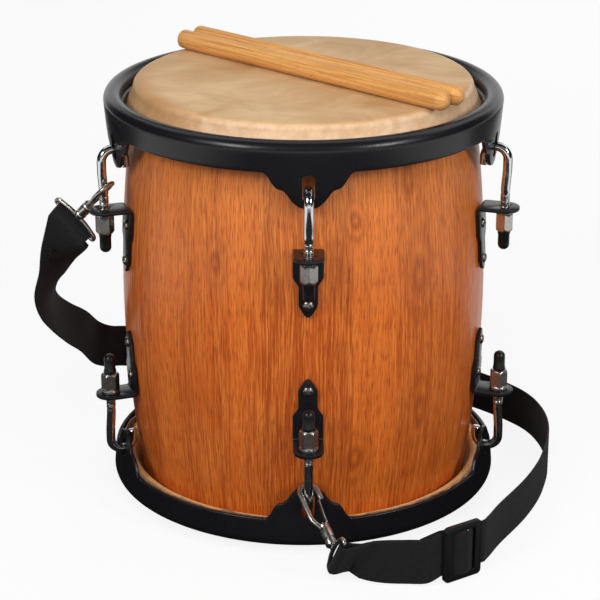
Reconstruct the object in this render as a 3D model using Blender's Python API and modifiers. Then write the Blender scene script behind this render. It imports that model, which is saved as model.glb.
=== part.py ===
"""A tambora: a wooden barrel drum with a skin at each end, tuned by five hooks a head, with its
carrying strap and two sticks. Metres, +Z up. The origin is the centre of the lower skin's flat face,
on which the drum stands. The front lug faces -Y."""

import math

import bmesh
import bpy
from mathutils import Matrix, Vector

# Driving dimensions. Heights marked "from the middle" are measured from the drum's mid-plane.
SHELL_HEIGHT = 0.3556
SKIN_THICKNESS = 0.0012
GAP = 0.0003
MIDDLE = SHELL_HEIGHT / 2 + GAP + SKIN_THICKNESS
BELLY_RADIUS = 0.1535
BELLY_CURVE = 0.47
SHELL_WALL = 0.011
EDGE_ROUND = 0.005
RING_STEPS = 40

HEAD_FLAT_RADIUS = 0.1335
HOOP_RADIUS = 0.1519
HOOP_WIRE = 0.004
HOOP_HEIGHT = 0.1568

RIM_ROLL = 0.0084
RIM_ROLL_AT = 0.1576
RIM_ROLL_HEIGHT = 0.1633
RIM_STEEL = 0.003
SKIRT_RADIUS = 0.1617
SKIRT_EDGE = 0.147
EAR_DEPTH = 0.030
SLOT_WIDTH = 0.0102
SLOT_HIGH = 0.1455
SLOT_LOW = 0.1243

LUGS = 5
FRONT_LUG_TURN = math.radians(1.3)
ROD_AT = 0.1725
ROD_WIRE = 0.0039
THREAD_RADIUS = 0.0036
HOOK_BEND = 0.0097
HOOK_BEND_HEIGHT = 0.1236
ROD_END = 0.050
TONGUE_TOP = 0.083
BRACKET_STEEL = 0.003
BRACKET_WIDTH = 0.0245
BRACKET_NARROW = 0.0153
BRACKET_TIP = 0.0265
NUT_ACROSS = 0.0134
NUT_LENGTH = 0.0175
NUT_BASE_RADIUS = 0.0078
NUT_BORE = 0.0043
CAP_RADIUS = 0.0052
CAP_END = 0.0455

STICK_RADIUS = 0.0081
STICK_LENGTH = 0.296

WEBBING_WIDTH = 0.038
WEBBING_THICKNESS = 0.0016
SNAP_WIRE = 0.0021
SNAP_BEND = 0.008
SNAP_BARREL = 0.0048
SNAP_BARREL_LENGTH = 0.020
SNAP_LEG = 0.050
EYE_WIRE = 0.00175
EYE_REACH = 0.012
EYE_HALF = 0.0225

for old in list(bpy.data.objects):
    bpy.data.objects.remove(old)


def new_collection(name):
    made = bpy.data.collections.new(name)
    bpy.context.scene.collection.children.link(made)
    return made


DRUM = new_collection("tambora")
CUTTERS = new_collection("cutters")


def material(name, colour, roughness, metallic=0.0):
    made = bpy.data.materials.new(name)
    made.use_nodes = True
    shader = made.node_tree.nodes["Principled BSDF"]
    shader.inputs["Base Color"].default_value = (*colour, 1.0)
    shader.inputs["Roughness"].default_value = roughness
    shader.inputs["Metallic"].default_value = metallic
    return made


WOOD = material("lacquered hardwood", (0.52, 0.17, 0.035), 0.35)
SKIN = material("animal skin", (0.76, 0.55, 0.31), 0.55)
BLACK_STEEL = material("black powder-coated steel", (0.012, 0.012, 0.013), 0.4)
CHROME = material("chrome-plated steel", (0.8, 0.8, 0.82), 0.12, 1.0)
HOOP_STEEL = material("galvanised steel", (0.45, 0.45, 0.46), 0.45, 1.0)
RUBBER = material("black rubber", (0.015, 0.015, 0.016), 0.55)
WEBBING = material("black polyester webbing", (0.014, 0.014, 0.016), 0.85)
PLASTIC = material("black nylon plastic", (0.013, 0.013, 0.014), 0.45)
OAK = material("oiled oak", (0.66, 0.36, 0.13), 0.5)


def put(name, mesh, finish, collection=DRUM):
    made = bpy.data.objects.new(name, mesh)
    mesh.materials.clear()
    mesh.materials.append(finish)
    collection.objects.link(made)
    return made


def as_cutter(thing):
    thing.hide_render = True
    thing.display_type = "WIRE"
    return thing


def smooth(thing, degrees=35):
    thing.data.shade_smooth()
    thing.data.set_sharp_from_angle(angle=math.radians(degrees))
    return thing


def screw(thing, steps=RING_STEPS, closed=True):
    turn = thing.modifiers.new("turn", "SCREW")
    turn.axis = "Z"
    turn.angle = math.tau
    turn.steps = steps
    turn.render_steps = steps
    turn.use_merge_vertices = True
    turn.merge_threshold = 0.00001
    turn.use_smooth_shade = closed
    return turn


def boolean(thing, other, operation):
    cut = thing.modifiers.new(operation.lower(), "BOOLEAN")
    cut.operation = operation
    cut.solver = "EXACT"
    cut.object = other
    return cut


def profile_mesh(name, points, closed=True):
    """Points (radius, height) down the outer side and back up the inner side."""
    mesh = bpy.data.meshes.new(name)
    count = len(points)
    edges = [(i, i + 1) for i in range(count - 1)]
    if closed:
        edges.append((count - 1, 0))
    mesh.from_pydata([(r, 0, z) for r, z in points], edges, [])
    return mesh


def arc(centre, radius, start, stop, count):
    """Points of an arc in a plane; angles in degrees."""
    found = []
    for i in range(count):
        turn = math.radians(start + (stop - start) * i / (count - 1))
        found.append((centre[0] + radius * math.cos(turn), centre[1] + radius * math.sin(turn)))
    return found


def baked(thing, name):
    """The evaluated shape of an object as a plain mesh in its own space, and the object removed."""
    bpy.context.view_layer.update()
    graph = bpy.context.evaluated_depsgraph_get()
    mesh = bpy.data.meshes.new_from_object(thing.evaluated_get(graph))
    mesh.name = name
    work = bmesh.new()
    work.from_mesh(mesh)
    bmesh.ops.remove_doubles(work, verts=work.verts, dist=0.000001)
    bmesh.ops.recalc_face_normals(work, faces=work.faces)
    work.to_mesh(mesh)
    work.free()
    bpy.data.objects.remove(thing)
    return mesh


def prism(name, points, shift):
    """A flat outline given as 3-D points, extruded by the shift."""
    work = bmesh.new()
    step = Vector(shift)
    near = [work.verts.new(p) for p in points]
    far = [work.verts.new(Vector(p) + step) for p in points]
    work.faces.new(near)
    work.faces.new(list(reversed(far)))
    for i, _ in enumerate(points):
        j = (i + 1) % len(points)
        work.faces.new((near[i], far[i], far[j], near[j]))
    bmesh.ops.recalc_face_normals(work, faces=work.faces)
    mesh = bpy.data.meshes.new(name)
    work.to_mesh(mesh)
    work.free()
    return mesh


def cutter(name, mesh):
    return as_cutter(put(name, mesh, BLACK_STEEL, CUTTERS))


def wire(name, points, radius, factors=None, cyclic=False):
    """A round wire along the points, as a curve with filled ends."""
    curve = bpy.data.curves.new(name, "CURVE")
    curve.dimensions = "3D"
    curve.bevel_depth = radius
    curve.bevel_resolution = 2
    curve.use_fill_caps = True
    spline = curve.splines.new("POLY")
    spline.points.add(len(points) - 1)
    for i, place in enumerate(points):
        spline.points[i].co = (*place, 1)
        spline.points[i].radius = factors[i] if factors else 1.0
    spline.use_cyclic_u = cyclic
    made = bpy.data.objects.new(name, curve)
    DRUM.objects.link(made)
    return made


def cylinder(name, radius, low, high, sides, along="Z"):
    """A cylinder between two places on the Z or the X axis."""
    work = bmesh.new()
    bmesh.ops.create_cone(work, cap_ends=True, segments=sides, radius1=radius, radius2=radius, depth=high - low)
    bmesh.ops.translate(work, verts=work.verts, vec=(0, 0, (low + high) / 2))
    if along == "X":
        bmesh.ops.rotate(work, verts=work.verts, matrix=Matrix.Rotation(math.pi / 2, 3, "Y"))
    mesh = bpy.data.meshes.new(name)
    work.to_mesh(mesh)
    work.free()
    return mesh


def empty(name, matrix, parent=None):
    made = bpy.data.objects.new(name, None)
    DRUM.objects.link(made)
    made.parent = parent
    made.matrix_local = matrix
    return made


# The drum's axis, and its two ends: the lower end is the upper one turned over about the front lug.
drum_axis = empty("drum_axis", Matrix.Translation((0, 0, MIDDLE)) @ Matrix.Rotation(FRONT_LUG_TURN, 4, "Z"))
upper_end = empty("upper_end", Matrix.Identity(4), drum_axis)
lower_end = empty("lower_end", Matrix.Rotation(math.pi, 4, "Y"), drum_axis)
ENDS = {"top": upper_end, "bottom": lower_end}
PLACES = ["front", "right", "rear_right", "rear_left", "left"]


def lug_matrix(place, end):
    """A lug's own frame: X out from the drum's axis, Z towards its head."""
    side = 1 if end == "top" else -1
    turn = -math.pi / 2 + side * math.tau * PLACES.index(place) / LUGS
    return Matrix.Rotation(turn, 4, "Z")


LUG_EMPTIES = {}
for end_name, end_empty in ENDS.items():
    for place_name in PLACES:
        key = (end_name, place_name)
        LUG_EMPTIES[key] = empty(f"{end_name}_lug_{place_name}", lug_matrix(place_name, end_name), end_empty)


def shell_radius(height):
    """The barrel's outer radius at a height from the middle."""
    return BELLY_RADIUS - BELLY_CURVE * height * height


def make_shell():
    half = SHELL_HEIGHT / 2
    shoulder = half - EDGE_ROUND
    heights = [shoulder * (1 - i / 4) for i in range(9)]
    outer = [(shell_radius(z), z) for z in heights]
    corner = shell_radius(shoulder) - EDGE_ROUND
    top_round = arc((corner, shoulder), EDGE_ROUND, 90, 0, 4)[:-1]
    bottom_round = [(r, -z) for r, z in reversed(top_round)]
    inner_heights = [-half + 0.006, -0.07, 0.07, half - 0.006]
    inner = [(shell_radius(z) - SHELL_WALL, z) for z in inner_heights]
    shell = put("shell", profile_mesh("shell", top_round + outer + bottom_round + inner), WOOD)
    screw(shell)
    shell.parent = drum_axis


def skin_points():
    """The skin in section: flat, over the bearing edge, down to the hoop, under it and up outside it."""
    top = SHELL_HEIGHT / 2 + GAP
    face = top + SKIN_THICKNESS
    shoulder = SHELL_HEIGHT / 2 - EDGE_ROUND
    edge = (shell_radius(shoulder) - EDGE_ROUND, shoulder)
    near = HOOP_WIRE + 2 * GAP
    far = near + SKIN_THICKNESS
    hoop = (HOOP_RADIUS, HOOP_HEIGHT)
    over = EDGE_ROUND + 0.0004
    outer = [(0, face), (HEAD_FLAT_RADIUS, face)] + arc(edge, over + SKIN_THICKNESS, 60, 0, 3)
    outer += arc(hoop, near, 180, 380, 5)
    inner = arc(hoop, far, 380, 180, 5) + arc(edge, over, 0, 60, 3) + [(edge[0], top), (0, top)]
    return outer + inner


def make_end_pieces(end):
    skin = put(f"{end}_skin", profile_mesh(f"{end}_skin", skin_points(), False), SKIN)
    screw(skin)
    skin.parent = ENDS[end]
    ring = arc((HOOP_RADIUS, HOOP_HEIGHT), HOOP_WIRE, 90, -270, 7)[:-1]
    hoop = put(f"{end}_flesh_hoop", profile_mesh(f"{end}_flesh_hoop", ring), HOOP_STEEL)
    screw(hoop)
    hoop.parent = ENDS[end]


def rim_points():
    """The rim in section: a bent sheet, from the skirt's edge up, rolled over and down on the hoop."""
    roll = (RIM_ROLL_AT, RIM_ROLL_HEIGHT)
    outer = arc(roll, RIM_ROLL, 190, -61, 8) + [(SKIRT_RADIUS, SKIRT_EDGE)]
    inner_wall = SKIRT_RADIUS - RIM_STEEL
    inner = [(inner_wall, SKIRT_EDGE), (inner_wall, RIM_ROLL_HEIGHT - 0.0053)]
    inner += arc(roll, RIM_ROLL - RIM_STEEL, -10, 190, 4)
    return outer + inner


def ear_drop(across):
    """How far the skirt's edge is lowered at a distance across from a lug."""
    line = [(0.0, EAR_DEPTH), (0.0077, 0.0282), (0.0135, 0.0230), (0.0175, 0.0167), (0.0202, 0.0144),
            (0.0250, 0.0131), (0.0279, 0.0101), (0.0322, 0.0024), (0.0350, 0.0)]
    for (a, high), (b, low) in zip(line, line[1:]):
        if across <= b:
            return high + (low - high) * (across - a) / (b - a)
    return 0.0


def edge_cutter_mesh():
    """A crown that takes away all of a deep skirt but its five ears."""
    across = [0.0, 0.0077, 0.0135, 0.0175, 0.0202, 0.0250, 0.0279, 0.0322, 0.0350, 0.065]
    offsets = [-x for x in reversed(across[1:])] + across
    stations = []
    for index in range(LUGS):
        middle = -math.pi / 2 + math.tau * index / LUGS
        for x in offsets:
            stations.append((middle + x / SKIRT_RADIUS, SKIRT_EDGE - ear_drop(abs(x))))
    work = bmesh.new()
    rings = []
    for turn, height in stations:
        c, s = math.cos(turn), math.sin(turn)
        near, far, floor = 0.150, 0.172, SKIRT_EDGE - EAR_DEPTH - 0.006
        corners = [(near, height), (far, height), (far, floor), (near, floor)]
        rings.append([work.verts.new((r * c, r * s, z)) for r, z in corners])
    for i, ring in enumerate(rings):
        after = rings[(i + 1) % len(rings)]
        for j in range(4):
            k = (j + 1) % 4
            work.faces.new((ring[j], ring[k], after[k], after[j]))
    bmesh.ops.triangulate(work, faces=work.faces)
    bmesh.ops.recalc_face_normals(work, faces=work.faces)
    mesh = bpy.data.meshes.new("ear_edge")
    work.to_mesh(mesh)
    work.free()
    return mesh


def slot_prisms():
    """A prism for each lug, standing out through the ear, with rounded corners."""
    half, corner = SLOT_WIDTH / 2, 0.003
    outline = arc((half - corner, SLOT_HIGH - corner), corner, 0, 90, 3)
    outline += arc((corner - half, SLOT_HIGH - corner), corner, 90, 180, 3)
    outline += arc((corner - half, SLOT_LOW + corner), corner, 180, 270, 3)
    outline += arc((half - corner, SLOT_LOW + corner), corner, 270, 360, 3)
    points = [(0.150, x, z) for x, z in outline]
    found = []
    for index in range(LUGS):
        slot = cutter(f"slot_{index}", prism(f"slot_{index}", points, (0.020, 0, 0)))
        slot.rotation_euler.z = -math.pi / 2 + math.tau * index / LUGS
        found.append(slot)
    return found


def make_rim_mesh():
    deep = [(r, z if z > SKIRT_EDGE else SKIRT_EDGE - EAR_DEPTH - 0.002) for r, z in rim_points()]
    rim = put("rim_draft", profile_mesh("rim_draft", deep), BLACK_STEEL)
    screw(rim)
    boolean(rim, cutter("ear_edge", edge_cutter_mesh()), "DIFFERENCE")
    for slot in slot_prisms():
        boolean(rim, slot, "DIFFERENCE")
    return baked(rim, "rim")


def make_bracket_mesh():
    """An L of flat steel: the plate follows the barrel's slope and the tongue carries the hook."""
    off = GAP + 0.0005
    at_tip, at_top = shell_radius(BRACKET_TIP) + off, shell_radius(TONGUE_TOP) + off
    tip, top, steel = BRACKET_TIP - 0.002, TONGUE_TOP, BRACKET_STEEL
    half, narrow = BRACKET_WIDTH / 2, BRACKET_NARROW / 2
    reach = ROD_AT + half + 0.002
    side = [(at_tip, tip), (at_tip + steel, tip), (at_top + steel, top - steel - 0.002),
            (at_top + steel + 0.0015, top - steel), (reach, top - steel), (reach, top)]
    side += arc((at_top + 0.0042, top - 0.0042), 0.0042, 90, 180, 4)
    points = [(r, -half - 0.001, z) for r, z in side]
    draft = put("bracket_draft", prism("bracket_draft", points, (0, BRACKET_WIDTH + 0.002, 0)), BLACK_STEEL)
    front = [(half, 0.09), (half, 0.0590), (narrow, 0.0520), (narrow, 0.0360), (narrow * 0.62, 0.0300),
             (narrow * 0.2, BRACKET_TIP)]
    front += [(-x, z) for x, z in reversed(front)]
    shape = cutter("bracket_front", prism("bracket_front", [(0.14, x, z) for x, z in front], (0.06, 0, 0)))
    plan = [(0.140, half + 0.002), (0.140, -half - 0.002), (ROD_AT, -half - 0.002)]
    plan += arc((ROD_AT, 0), half, -90, 90, 7) + [(ROD_AT, half + 0.002)]
    rounded = cutter("bracket_plan", prism("bracket_plan", [(r, y, 0) for r, y in plan], (0, 0, 0.12)))
    hole = cutter("rod_hole", cylinder("rod_hole", ROD_WIRE + 0.0006, 0.07, 0.09, 12))
    hole.location = (ROD_AT, 0, 0)
    boolean(draft, shape, "INTERSECT")
    boolean(draft, rounded, "INTERSECT")
    boolean(draft, hole, "DIFFERENCE")
    return baked(draft, "bracket")


def make_hook_mesh():
    """The J-shaped rod: through the nut, up past the ear, over and down behind it."""
    centre = (ROD_AT + 0.0011 - HOOK_BEND, HOOK_BEND_HEIGHT)
    route = [(ROD_AT, ROD_END), (ROD_AT, 0.094), (ROD_AT, 0.097), (ROD_AT + 0.0009, 0.113)]
    route += arc(centre, HOOK_BEND, 0, 180, 7)
    route += [(centre[0] - HOOK_BEND, HOOK_BEND_HEIGHT - 0.0065)]
    factors = [THREAD_RADIUS / ROD_WIRE] * 2 + [1.0] * (len(route) - 2)
    return baked(wire("hook_draft", [(r, 0, z) for r, z in route], ROD_WIRE, factors), "hook")


def make_nut_mesh():
    """A tall hexagon nut with a flared base against the tongue, bored for the rod."""
    corner = NUT_ACROSS / math.sqrt(3)
    nut = put("nut_draft", cylinder("nut_draft", corner, -NUT_LENGTH, -0.0008, 6), CHROME)
    boolean(nut, cutter("nut_base", cylinder("nut_base", NUT_BASE_RADIUS, -0.0018, 0, 12)), "UNION")
    boolean(nut, cutter("nut_bore", cylinder("nut_bore", NUT_BORE, -0.02, 0.002, 8)), "DIFFERENCE")
    return baked(nut, "nut")


def make_cap_mesh():
    """A rubber cap over the free thread, open towards the nut and domed at its end."""
    open_end = TONGUE_TOP - BRACKET_STEEL - NUT_LENGTH - 2 * GAP
    points = [(0, ROD_END - GAP), (NUT_BORE, ROD_END - GAP), (NUT_BORE, open_end), (CAP_RADIUS, open_end),
              (CAP_RADIUS, CAP_END + 0.0030), (CAP_RADIUS * 0.66, CAP_END + 0.0006), (0, CAP_END)]
    cap = put("cap_draft", profile_mesh("cap_draft", points, False), RUBBER)
    screw(cap, 10)
    return baked(cap, "cap")


def lug_piece(name, mesh, finish, end, place, radius=0.0, height=0.0):
    made = put(name, mesh, finish)
    made.parent = LUG_EMPTIES[(end, place)]
    made.location = (radius, 0, height)
    return smooth(made)


# Strap geometry: a flat band swept along stations, each a centre and the direction of its width.
def catmull(a, b, c, d, t):
    """The point at t between b and c of a curve that runs through all four."""
    return 0.5 * (2 * b + (c - a) * t + (2 * a - 5 * b + 4 * c - d) * t * t + (3 * b - a - 3 * c + d) * t ** 3)


def smoothed(stations, parts):
    """The stations with further ones between them on a smooth curve."""
    found = []
    last = len(stations) - 1
    for i in range(last):
        four = [stations[max(0, min(last, i + k))] for k in (-1, 0, 1, 2)]
        for part in range(parts):
            t = part / parts
            place = catmull(*[s[0] for s in four], t)
            found.append((place, catmull(*[s[1] for s in four], t).normalized()))
    found.append(stations[last])
    return found


def layer(stations, offset):
    """The stations moved sideways, off their band's face."""
    found = []
    for i, (place, wide) in enumerate(stations):
        ahead = stations[min(i + 1, len(stations) - 1)][0] - stations[max(i - 1, 0)][0]
        found.append((place + ahead.normalized().cross(wide).normalized() * offset, wide))
    return found


def band_mesh(name, stations, width, thickness):
    """A band of this width and thickness along the stations, closed at both ends."""
    work = bmesh.new()
    rings = []
    for i, (place, wide) in enumerate(stations):
        back = place - stations[max(i - 1, 0)][0]
        ahead = stations[min(i + 1, len(stations) - 1)][0] - place
        back = ahead.copy() if back.length < 1e-9 else back
        ahead = back.copy() if ahead.length < 1e-9 else ahead
        along = (back.normalized() + ahead.normalized()).normalized()
        mitre = 1 / max(0.7, along.dot(ahead.normalized()))
        across = (wide - along * wide.dot(along)).normalized() * width / 2
        off = along.cross(across).normalized() * thickness / 2 * mitre
        corners = [place + across + off, place - across + off, place - across - off, place + across - off]
        rings.append([work.verts.new(p) for p in corners])
    for ring, after in zip(rings, rings[1:]):
        for j in range(4):
            k = (j + 1) % 4
            work.faces.new((ring[j], ring[k], after[k], after[j]))
    work.faces.new(rings[0])
    work.faces.new(list(reversed(rings[-1])))
    bmesh.ops.recalc_face_normals(work, faces=work.faces)
    mesh = bpy.data.meshes.new(name)
    work.to_mesh(mesh)
    work.free()
    return mesh


def eye_loop(bar, leaving, wide):
    """Stations round an eye's bar, and the two directions of the loop's plane."""
    wide = wide.normalized()
    out = (leaving - wide * leaving.dot(wide)).normalized()
    side = out.cross(wide)
    points = [(0.014, -0.00115), (0.008, -0.0018), (0.0036, -0.00285), (0.0006, -0.00315), (-0.0023, -0.0022),
              (-0.00315, 0.0), (-0.0023, 0.0022), (0.0006, 0.00315), (0.0036, 0.00285), (0.008, 0.0018),
              (0.014, 0.00115)]
    return [(bar + out * u + side * v, wide) for u, v in points]


UP = Vector((0, 0, 1))
FRONT_SNAP = Vector((0.0226, -0.2094, 0.0332))
FRONT_AWAY = Vector((0.36, -0.755, -0.548)).normalized()
FRONT_BAR = FRONT_SNAP + FRONT_AWAY * EYE_REACH
FRONT_WIDE = Vector((0.236, -0.494, 0.837))
LEFT_SNAP = Vector((-0.18587, -0.03084, 0.24813))
LEFT_AWAY = Vector((-0.481, 0.600, -0.639)).normalized()
LEFT_BAR = LEFT_SNAP + LEFT_AWAY * EYE_REACH
LEFT_WIDE = Vector((0.677, -0.209, -0.706))
BUCKLE_AT = Vector((0.1260, -0.2010, 0.0244))
BUCKLE_TURN = math.radians(34)
BUCKLE_ALONG = Vector((math.cos(BUCKLE_TURN), math.sin(BUCKLE_TURN), 0))
BUCKLE_OUT = Vector((math.sin(BUCKLE_TURN), -math.cos(BUCKLE_TURN), 0))


def at_buckle(points):
    return [(BUCKLE_AT + BUCKLE_ALONG * s + BUCKLE_OUT * t, UP) for s, t in points]


def strap_stations(parts):
    """The strap from its end sewn at the buckle, by the front eye, round the drum to the left eye."""
    sewn = at_buckle([(-0.032, -0.0096), (-0.016, -0.0086), (-0.009, -0.0070), (-0.0052, -0.0052), (0, -0.0034),
                      (0.0026, -0.0026), (0.0035, -0.0006), (0.0030, 0.0010), (0.0014, 0.0018), (-0.0014, 0.0018),
                      (-0.0034, 0.0006), (-0.0056, -0.0024), (-0.009, -0.0044), (-0.016, -0.0056)])
    threaded = at_buckle([(-0.016, -0.0033), (-0.0125, -0.0033), (-0.008, -0.0002), (-0.0036, 0.0033), (0, 0.0039),
                          (0.0036, 0.0033), (0.008, -0.0002), (0.0125, -0.0033), (0.019, -0.0034), (0.026, -0.0042)])
    pair = [(FRONT_BAR + Vector((0.0093, 0.0034, -0.0014)), FRONT_WIDE.normalized()),
            (Vector((0.048, -0.2135, 0.0229)), Vector((0.10, -0.25, 0.96))),
            (Vector((0.064, -0.2115, 0.0203)), Vector((0.02, -0.05, 1.0))),
            (Vector((0.082, -0.2122, 0.0204)), UP), (Vector((0.0966, -0.2146, 0.0222)), UP)]
    pair += at_buckle([(-0.020, -0.0046)])
    pair = smoothed([(p, w.normalized()) for p, w in pair], parts)[parts:]
    front_loop = eye_loop(FRONT_BAR, Vector((0.933, 0.331, -0.140)), FRONT_WIDE)
    inner = list(reversed(layer(pair, -0.00115)))
    outer = layer(pair, 0.00115)
    free = [(151, -169, 22.6), (161, -145, 20.4), (182, -106, 19.4), (195, -78, 19.3),
            (205, -50, 19.3), (214, -12, 19.3), (217, 22, 19.3), (214, 52, 19.3), (205, 80, 19.3), (188, 105, 19.3),
            (160, 134, 19.3), (120, 165, 19.3), (65, 190, 19.3), (0, 200, 19.5), (-50, 194, 24), (-100, 175, 38),
            (-140, 146, 56), (-165, 119, 69)]
    free = [(Vector(p) * 0.001, UP) for p in free]
    rising = [((-179, 100, 76.6), (0, 0.1, 1)), ((-188.7, 88, 85.5), (0, 0.25, 0.97)),
              ((-197.9, 72, 102.7), (0.03, 0.45, 0.9)), ((-208.7, 55, 117.2), (0.06, 0.68, 0.73)),
              ((-218.0, 38, 133.5), (0.12, 0.88, 0.46)), ((-221.9, 25, 149.0), (0.26, 0.96, 0.12)),
              ((-220.0, 12, 168.5), (0.40, 0.90, -0.12)), ((-210.4, 0, 192.4), (0.58, 0.78, -0.24)),
              ((-201.6, -11, 215.7), (0.84, 0.25, -0.46))]
    rising = [(Vector(p) * 0.001, Vector(w).normalized()) for p, w in rising]
    long_run = smoothed(threaded[-1:] + free + rising, parts)[1:]
    left_loop = eye_loop(LEFT_BAR, rising[-1][0] - LEFT_BAR, LEFT_WIDE)
    shift = left_loop[-1][0] - left_loop[0][0]
    end_layer = [(p - shift * 1.0, w) for p, w in reversed(long_run[-2:])]
    return sewn + inner + front_loop + outer + threaded + long_run + list(reversed(left_loop)) + end_layer


def make_buckle():
    """A slide of three bars: two at its ends and one, set lower, in the middle."""
    half, high, corner, thick = 0.018, 0.024, 0.004, 0.0034
    outline = arc((half - corner, high - corner), corner, 0, 90, 3)
    outline += arc((corner - half, high - corner), corner, 90, 180, 3)
    outline += arc((corner - half, corner - high), corner, 180, 270, 3)
    outline += arc((half - corner, corner - high), corner, 270, 360, 3)
    body = prism("buckle_draft", [(x, -thick / 2, z) for x, z in outline], (0, thick, 0))
    draft = put("buckle_draft", body, PLASTIC)
    opening = 0.0196
    boxes = [(-0.0135, -0.0018, -0.003, 0.003), (0.0018, 0.0135, -0.003, 0.003),
             (-0.0022, 0.0022, -0.003, -0.0003), (-0.0022, 0.0022, 0.0015, 0.003)]
    for i, (x0, x1, y0, y1) in enumerate(boxes):
        corners = [(x0, y0, -opening), (x1, y0, -opening), (x1, y1, -opening), (x0, y1, -opening)]
        boolean(draft, cutter(f"buckle_cut_{i}", prism(f"buckle_cut_{i}", corners, (0, 0, 2 * opening))), "DIFFERENCE")
    buckle = smooth(put("strap_buckle", baked(draft, "strap_buckle"), PLASTIC))
    buckle.location = BUCKLE_AT
    buckle.rotation_euler.z = BUCKLE_TURN


def make_snap_meshes():
    """The snap hook, its leaf gate about its own hinge, and the eye that turns in its barrel."""
    lean = [(0.016, -0.0024), (0.020, -0.0046), (0.0265, -SNAP_BEND)]
    bend = [(SNAP_LEG + SNAP_BEND * math.cos(t), SNAP_BEND * math.sin(t))
            for t in [math.radians(-90 + 180 * i / 8) for i in range(9)]]
    route = [(x, y, 0) for x, y in lean + bend + [(0.042, SNAP_BEND)]]
    rod = baked(wire("snap_rod", route, SNAP_WIRE), "snap_rod")
    rod_cutter = cutter("snap_rod", rod)
    draft = put("snap_draft", cylinder("snap_draft", SNAP_BARREL, 0, SNAP_BARREL_LENGTH, 12, "X"), CHROME)
    boolean(draft, rod_cutter, "UNION")
    boolean(draft, cutter("snap_bore", cylinder("snap_bore", 0.0023, -0.002, 0.0096, 12, "X")), "DIFFERENCE")
    hook = baked(draft, "snap_hook")
    leaf = [(-0.0004, -0.0008), (0.0218, 0.0013), (0.0220, 0.0024), (-0.0004, 0.0010)]
    gate = prism("snap_gate", [(x, y, -0.002) for x, y in leaf], (0, 0, 0.004))
    ring = [(-EYE_REACH, EYE_HALF), (-0.0065, EYE_HALF - 0.0005), (-0.0029, 0.0072), (-0.0029, -0.0072),
            (-0.0065, 0.0005 - EYE_HALF), (-EYE_REACH, -EYE_HALF)]
    eye_wire = wire("eye_draft", [(x, 0, z) for x, z in ring], EYE_WIRE, None, True)
    eye_draft = put("eye_body", baked(eye_wire, "eye_body"), CHROME)
    boolean(eye_draft, cutter("eye_pin", cylinder("eye_pin", 0.0019, -0.0032, 0.009, 12, "X")), "UNION")
    return hook, gate, baked(eye_draft, "snap_eye")


def frame_from(origin, along, side_y=None, side_z=None):
    """A placement whose X runs along, with its Y or its Z as near as can be to the one given."""
    x = along.normalized()
    if side_y is not None:
        y = (side_y - x * side_y.dot(x)).normalized()
        z = x.cross(y)
    else:
        z = (side_z - x * side_z.dot(x)).normalized()
        y = z.cross(x)
    return Matrix.Translation(origin) @ Matrix((x, y, z)).transposed().to_4x4()


def place_snap(name, meshes, origin, away, lateral, bar):
    hook_mesh, gate_mesh, eye_mesh = meshes
    place = frame_from(origin, -away, side_y=lateral)
    hook = smooth(put(f"{name}_snap_hook", hook_mesh, CHROME))
    hook.matrix_world = place
    gate = smooth(put(f"{name}_snap_gate", gate_mesh, CHROME))
    gate.matrix_world = place @ Matrix.Translation((0.0210, 0.0032, 0))
    eye = smooth(put(f"{name}_snap_eye", eye_mesh, CHROME))
    eye.matrix_world = frame_from(origin, -away, side_z=bar)


def make_stick(name, mesh, x, y, turn):
    stick = smooth(put(name, mesh, OAK))
    stick.location = (x, y, 2 * MIDDLE + GAP + STICK_RADIUS)
    stick.rotation_euler = (0, math.radians(90), math.radians(turn))


make_shell()
for end_name in ENDS:
    make_end_pieces(end_name)
rim_mesh = make_rim_mesh()
bracket_mesh = make_bracket_mesh()
hook_mesh = make_hook_mesh()
nut_mesh = make_nut_mesh()
cap_mesh = make_cap_mesh()
for end_name, end_empty in ENDS.items():
    rim_piece = smooth(put(f"{end_name}_rim", rim_mesh, BLACK_STEEL))
    rim_piece.parent = end_empty
    for place_name in PLACES:
        lug = (end_name, place_name)
        lug_piece(f"{end_name}_bracket_{place_name}", bracket_mesh, BLACK_STEEL, *lug)
        lug_piece(f"{end_name}_hook_{place_name}", hook_mesh, CHROME, *lug)
        lug_piece(f"{end_name}_nut_{place_name}", nut_mesh, CHROME, *lug, ROD_AT, TONGUE_TOP - BRACKET_STEEL - GAP)
        lug_piece(f"{end_name}_cap_{place_name}", cap_mesh, RUBBER, *lug, ROD_AT)

smooth(put("strap", band_mesh("strap", strap_stations(2), WEBBING_WIDTH, WEBBING_THICKNESS), WEBBING))
make_buckle()
snap_meshes = make_snap_meshes()
place_snap("front", snap_meshes, FRONT_SNAP, FRONT_AWAY, Vector((0.883, 0.465, -0.061)), FRONT_WIDE)
place_snap("left", snap_meshes, LEFT_SNAP, LEFT_AWAY, Vector((-0.608, -0.754, -0.250)), -LEFT_WIDE)

half_stick = STICK_LENGTH / 2
stick_points = [(0, half_stick), (STICK_RADIUS * 0.6, half_stick - 0.0012), (STICK_RADIUS * 0.9, half_stick - 0.004),
                (STICK_RADIUS, half_stick - 0.008), (STICK_RADIUS, 0.006 - half_stick),
                (STICK_RADIUS * 0.8, 0.0015 - half_stick), (0, -half_stick)]
stick_draft = put("stick_draft", profile_mesh("stick_draft", stick_points, False), OAK)
screw(stick_draft, 16)
stick_mesh = baked(stick_draft, "stick")
make_stick("stick_front", stick_mesh, 0.0038, -0.0072, -43.0)
make_stick("stick_rear", stick_mesh, 0.0162, 0.0072, -43.0)

for piece in DRUM.objects:
    if piece.type == "MESH":
        piece.data.shade_smooth()
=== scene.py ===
"""A tambora seen as in a studio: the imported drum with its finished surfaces. Metres, +Z up."""

import math

import bmesh
import bpy
from mathutils import Matrix, Vector


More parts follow.
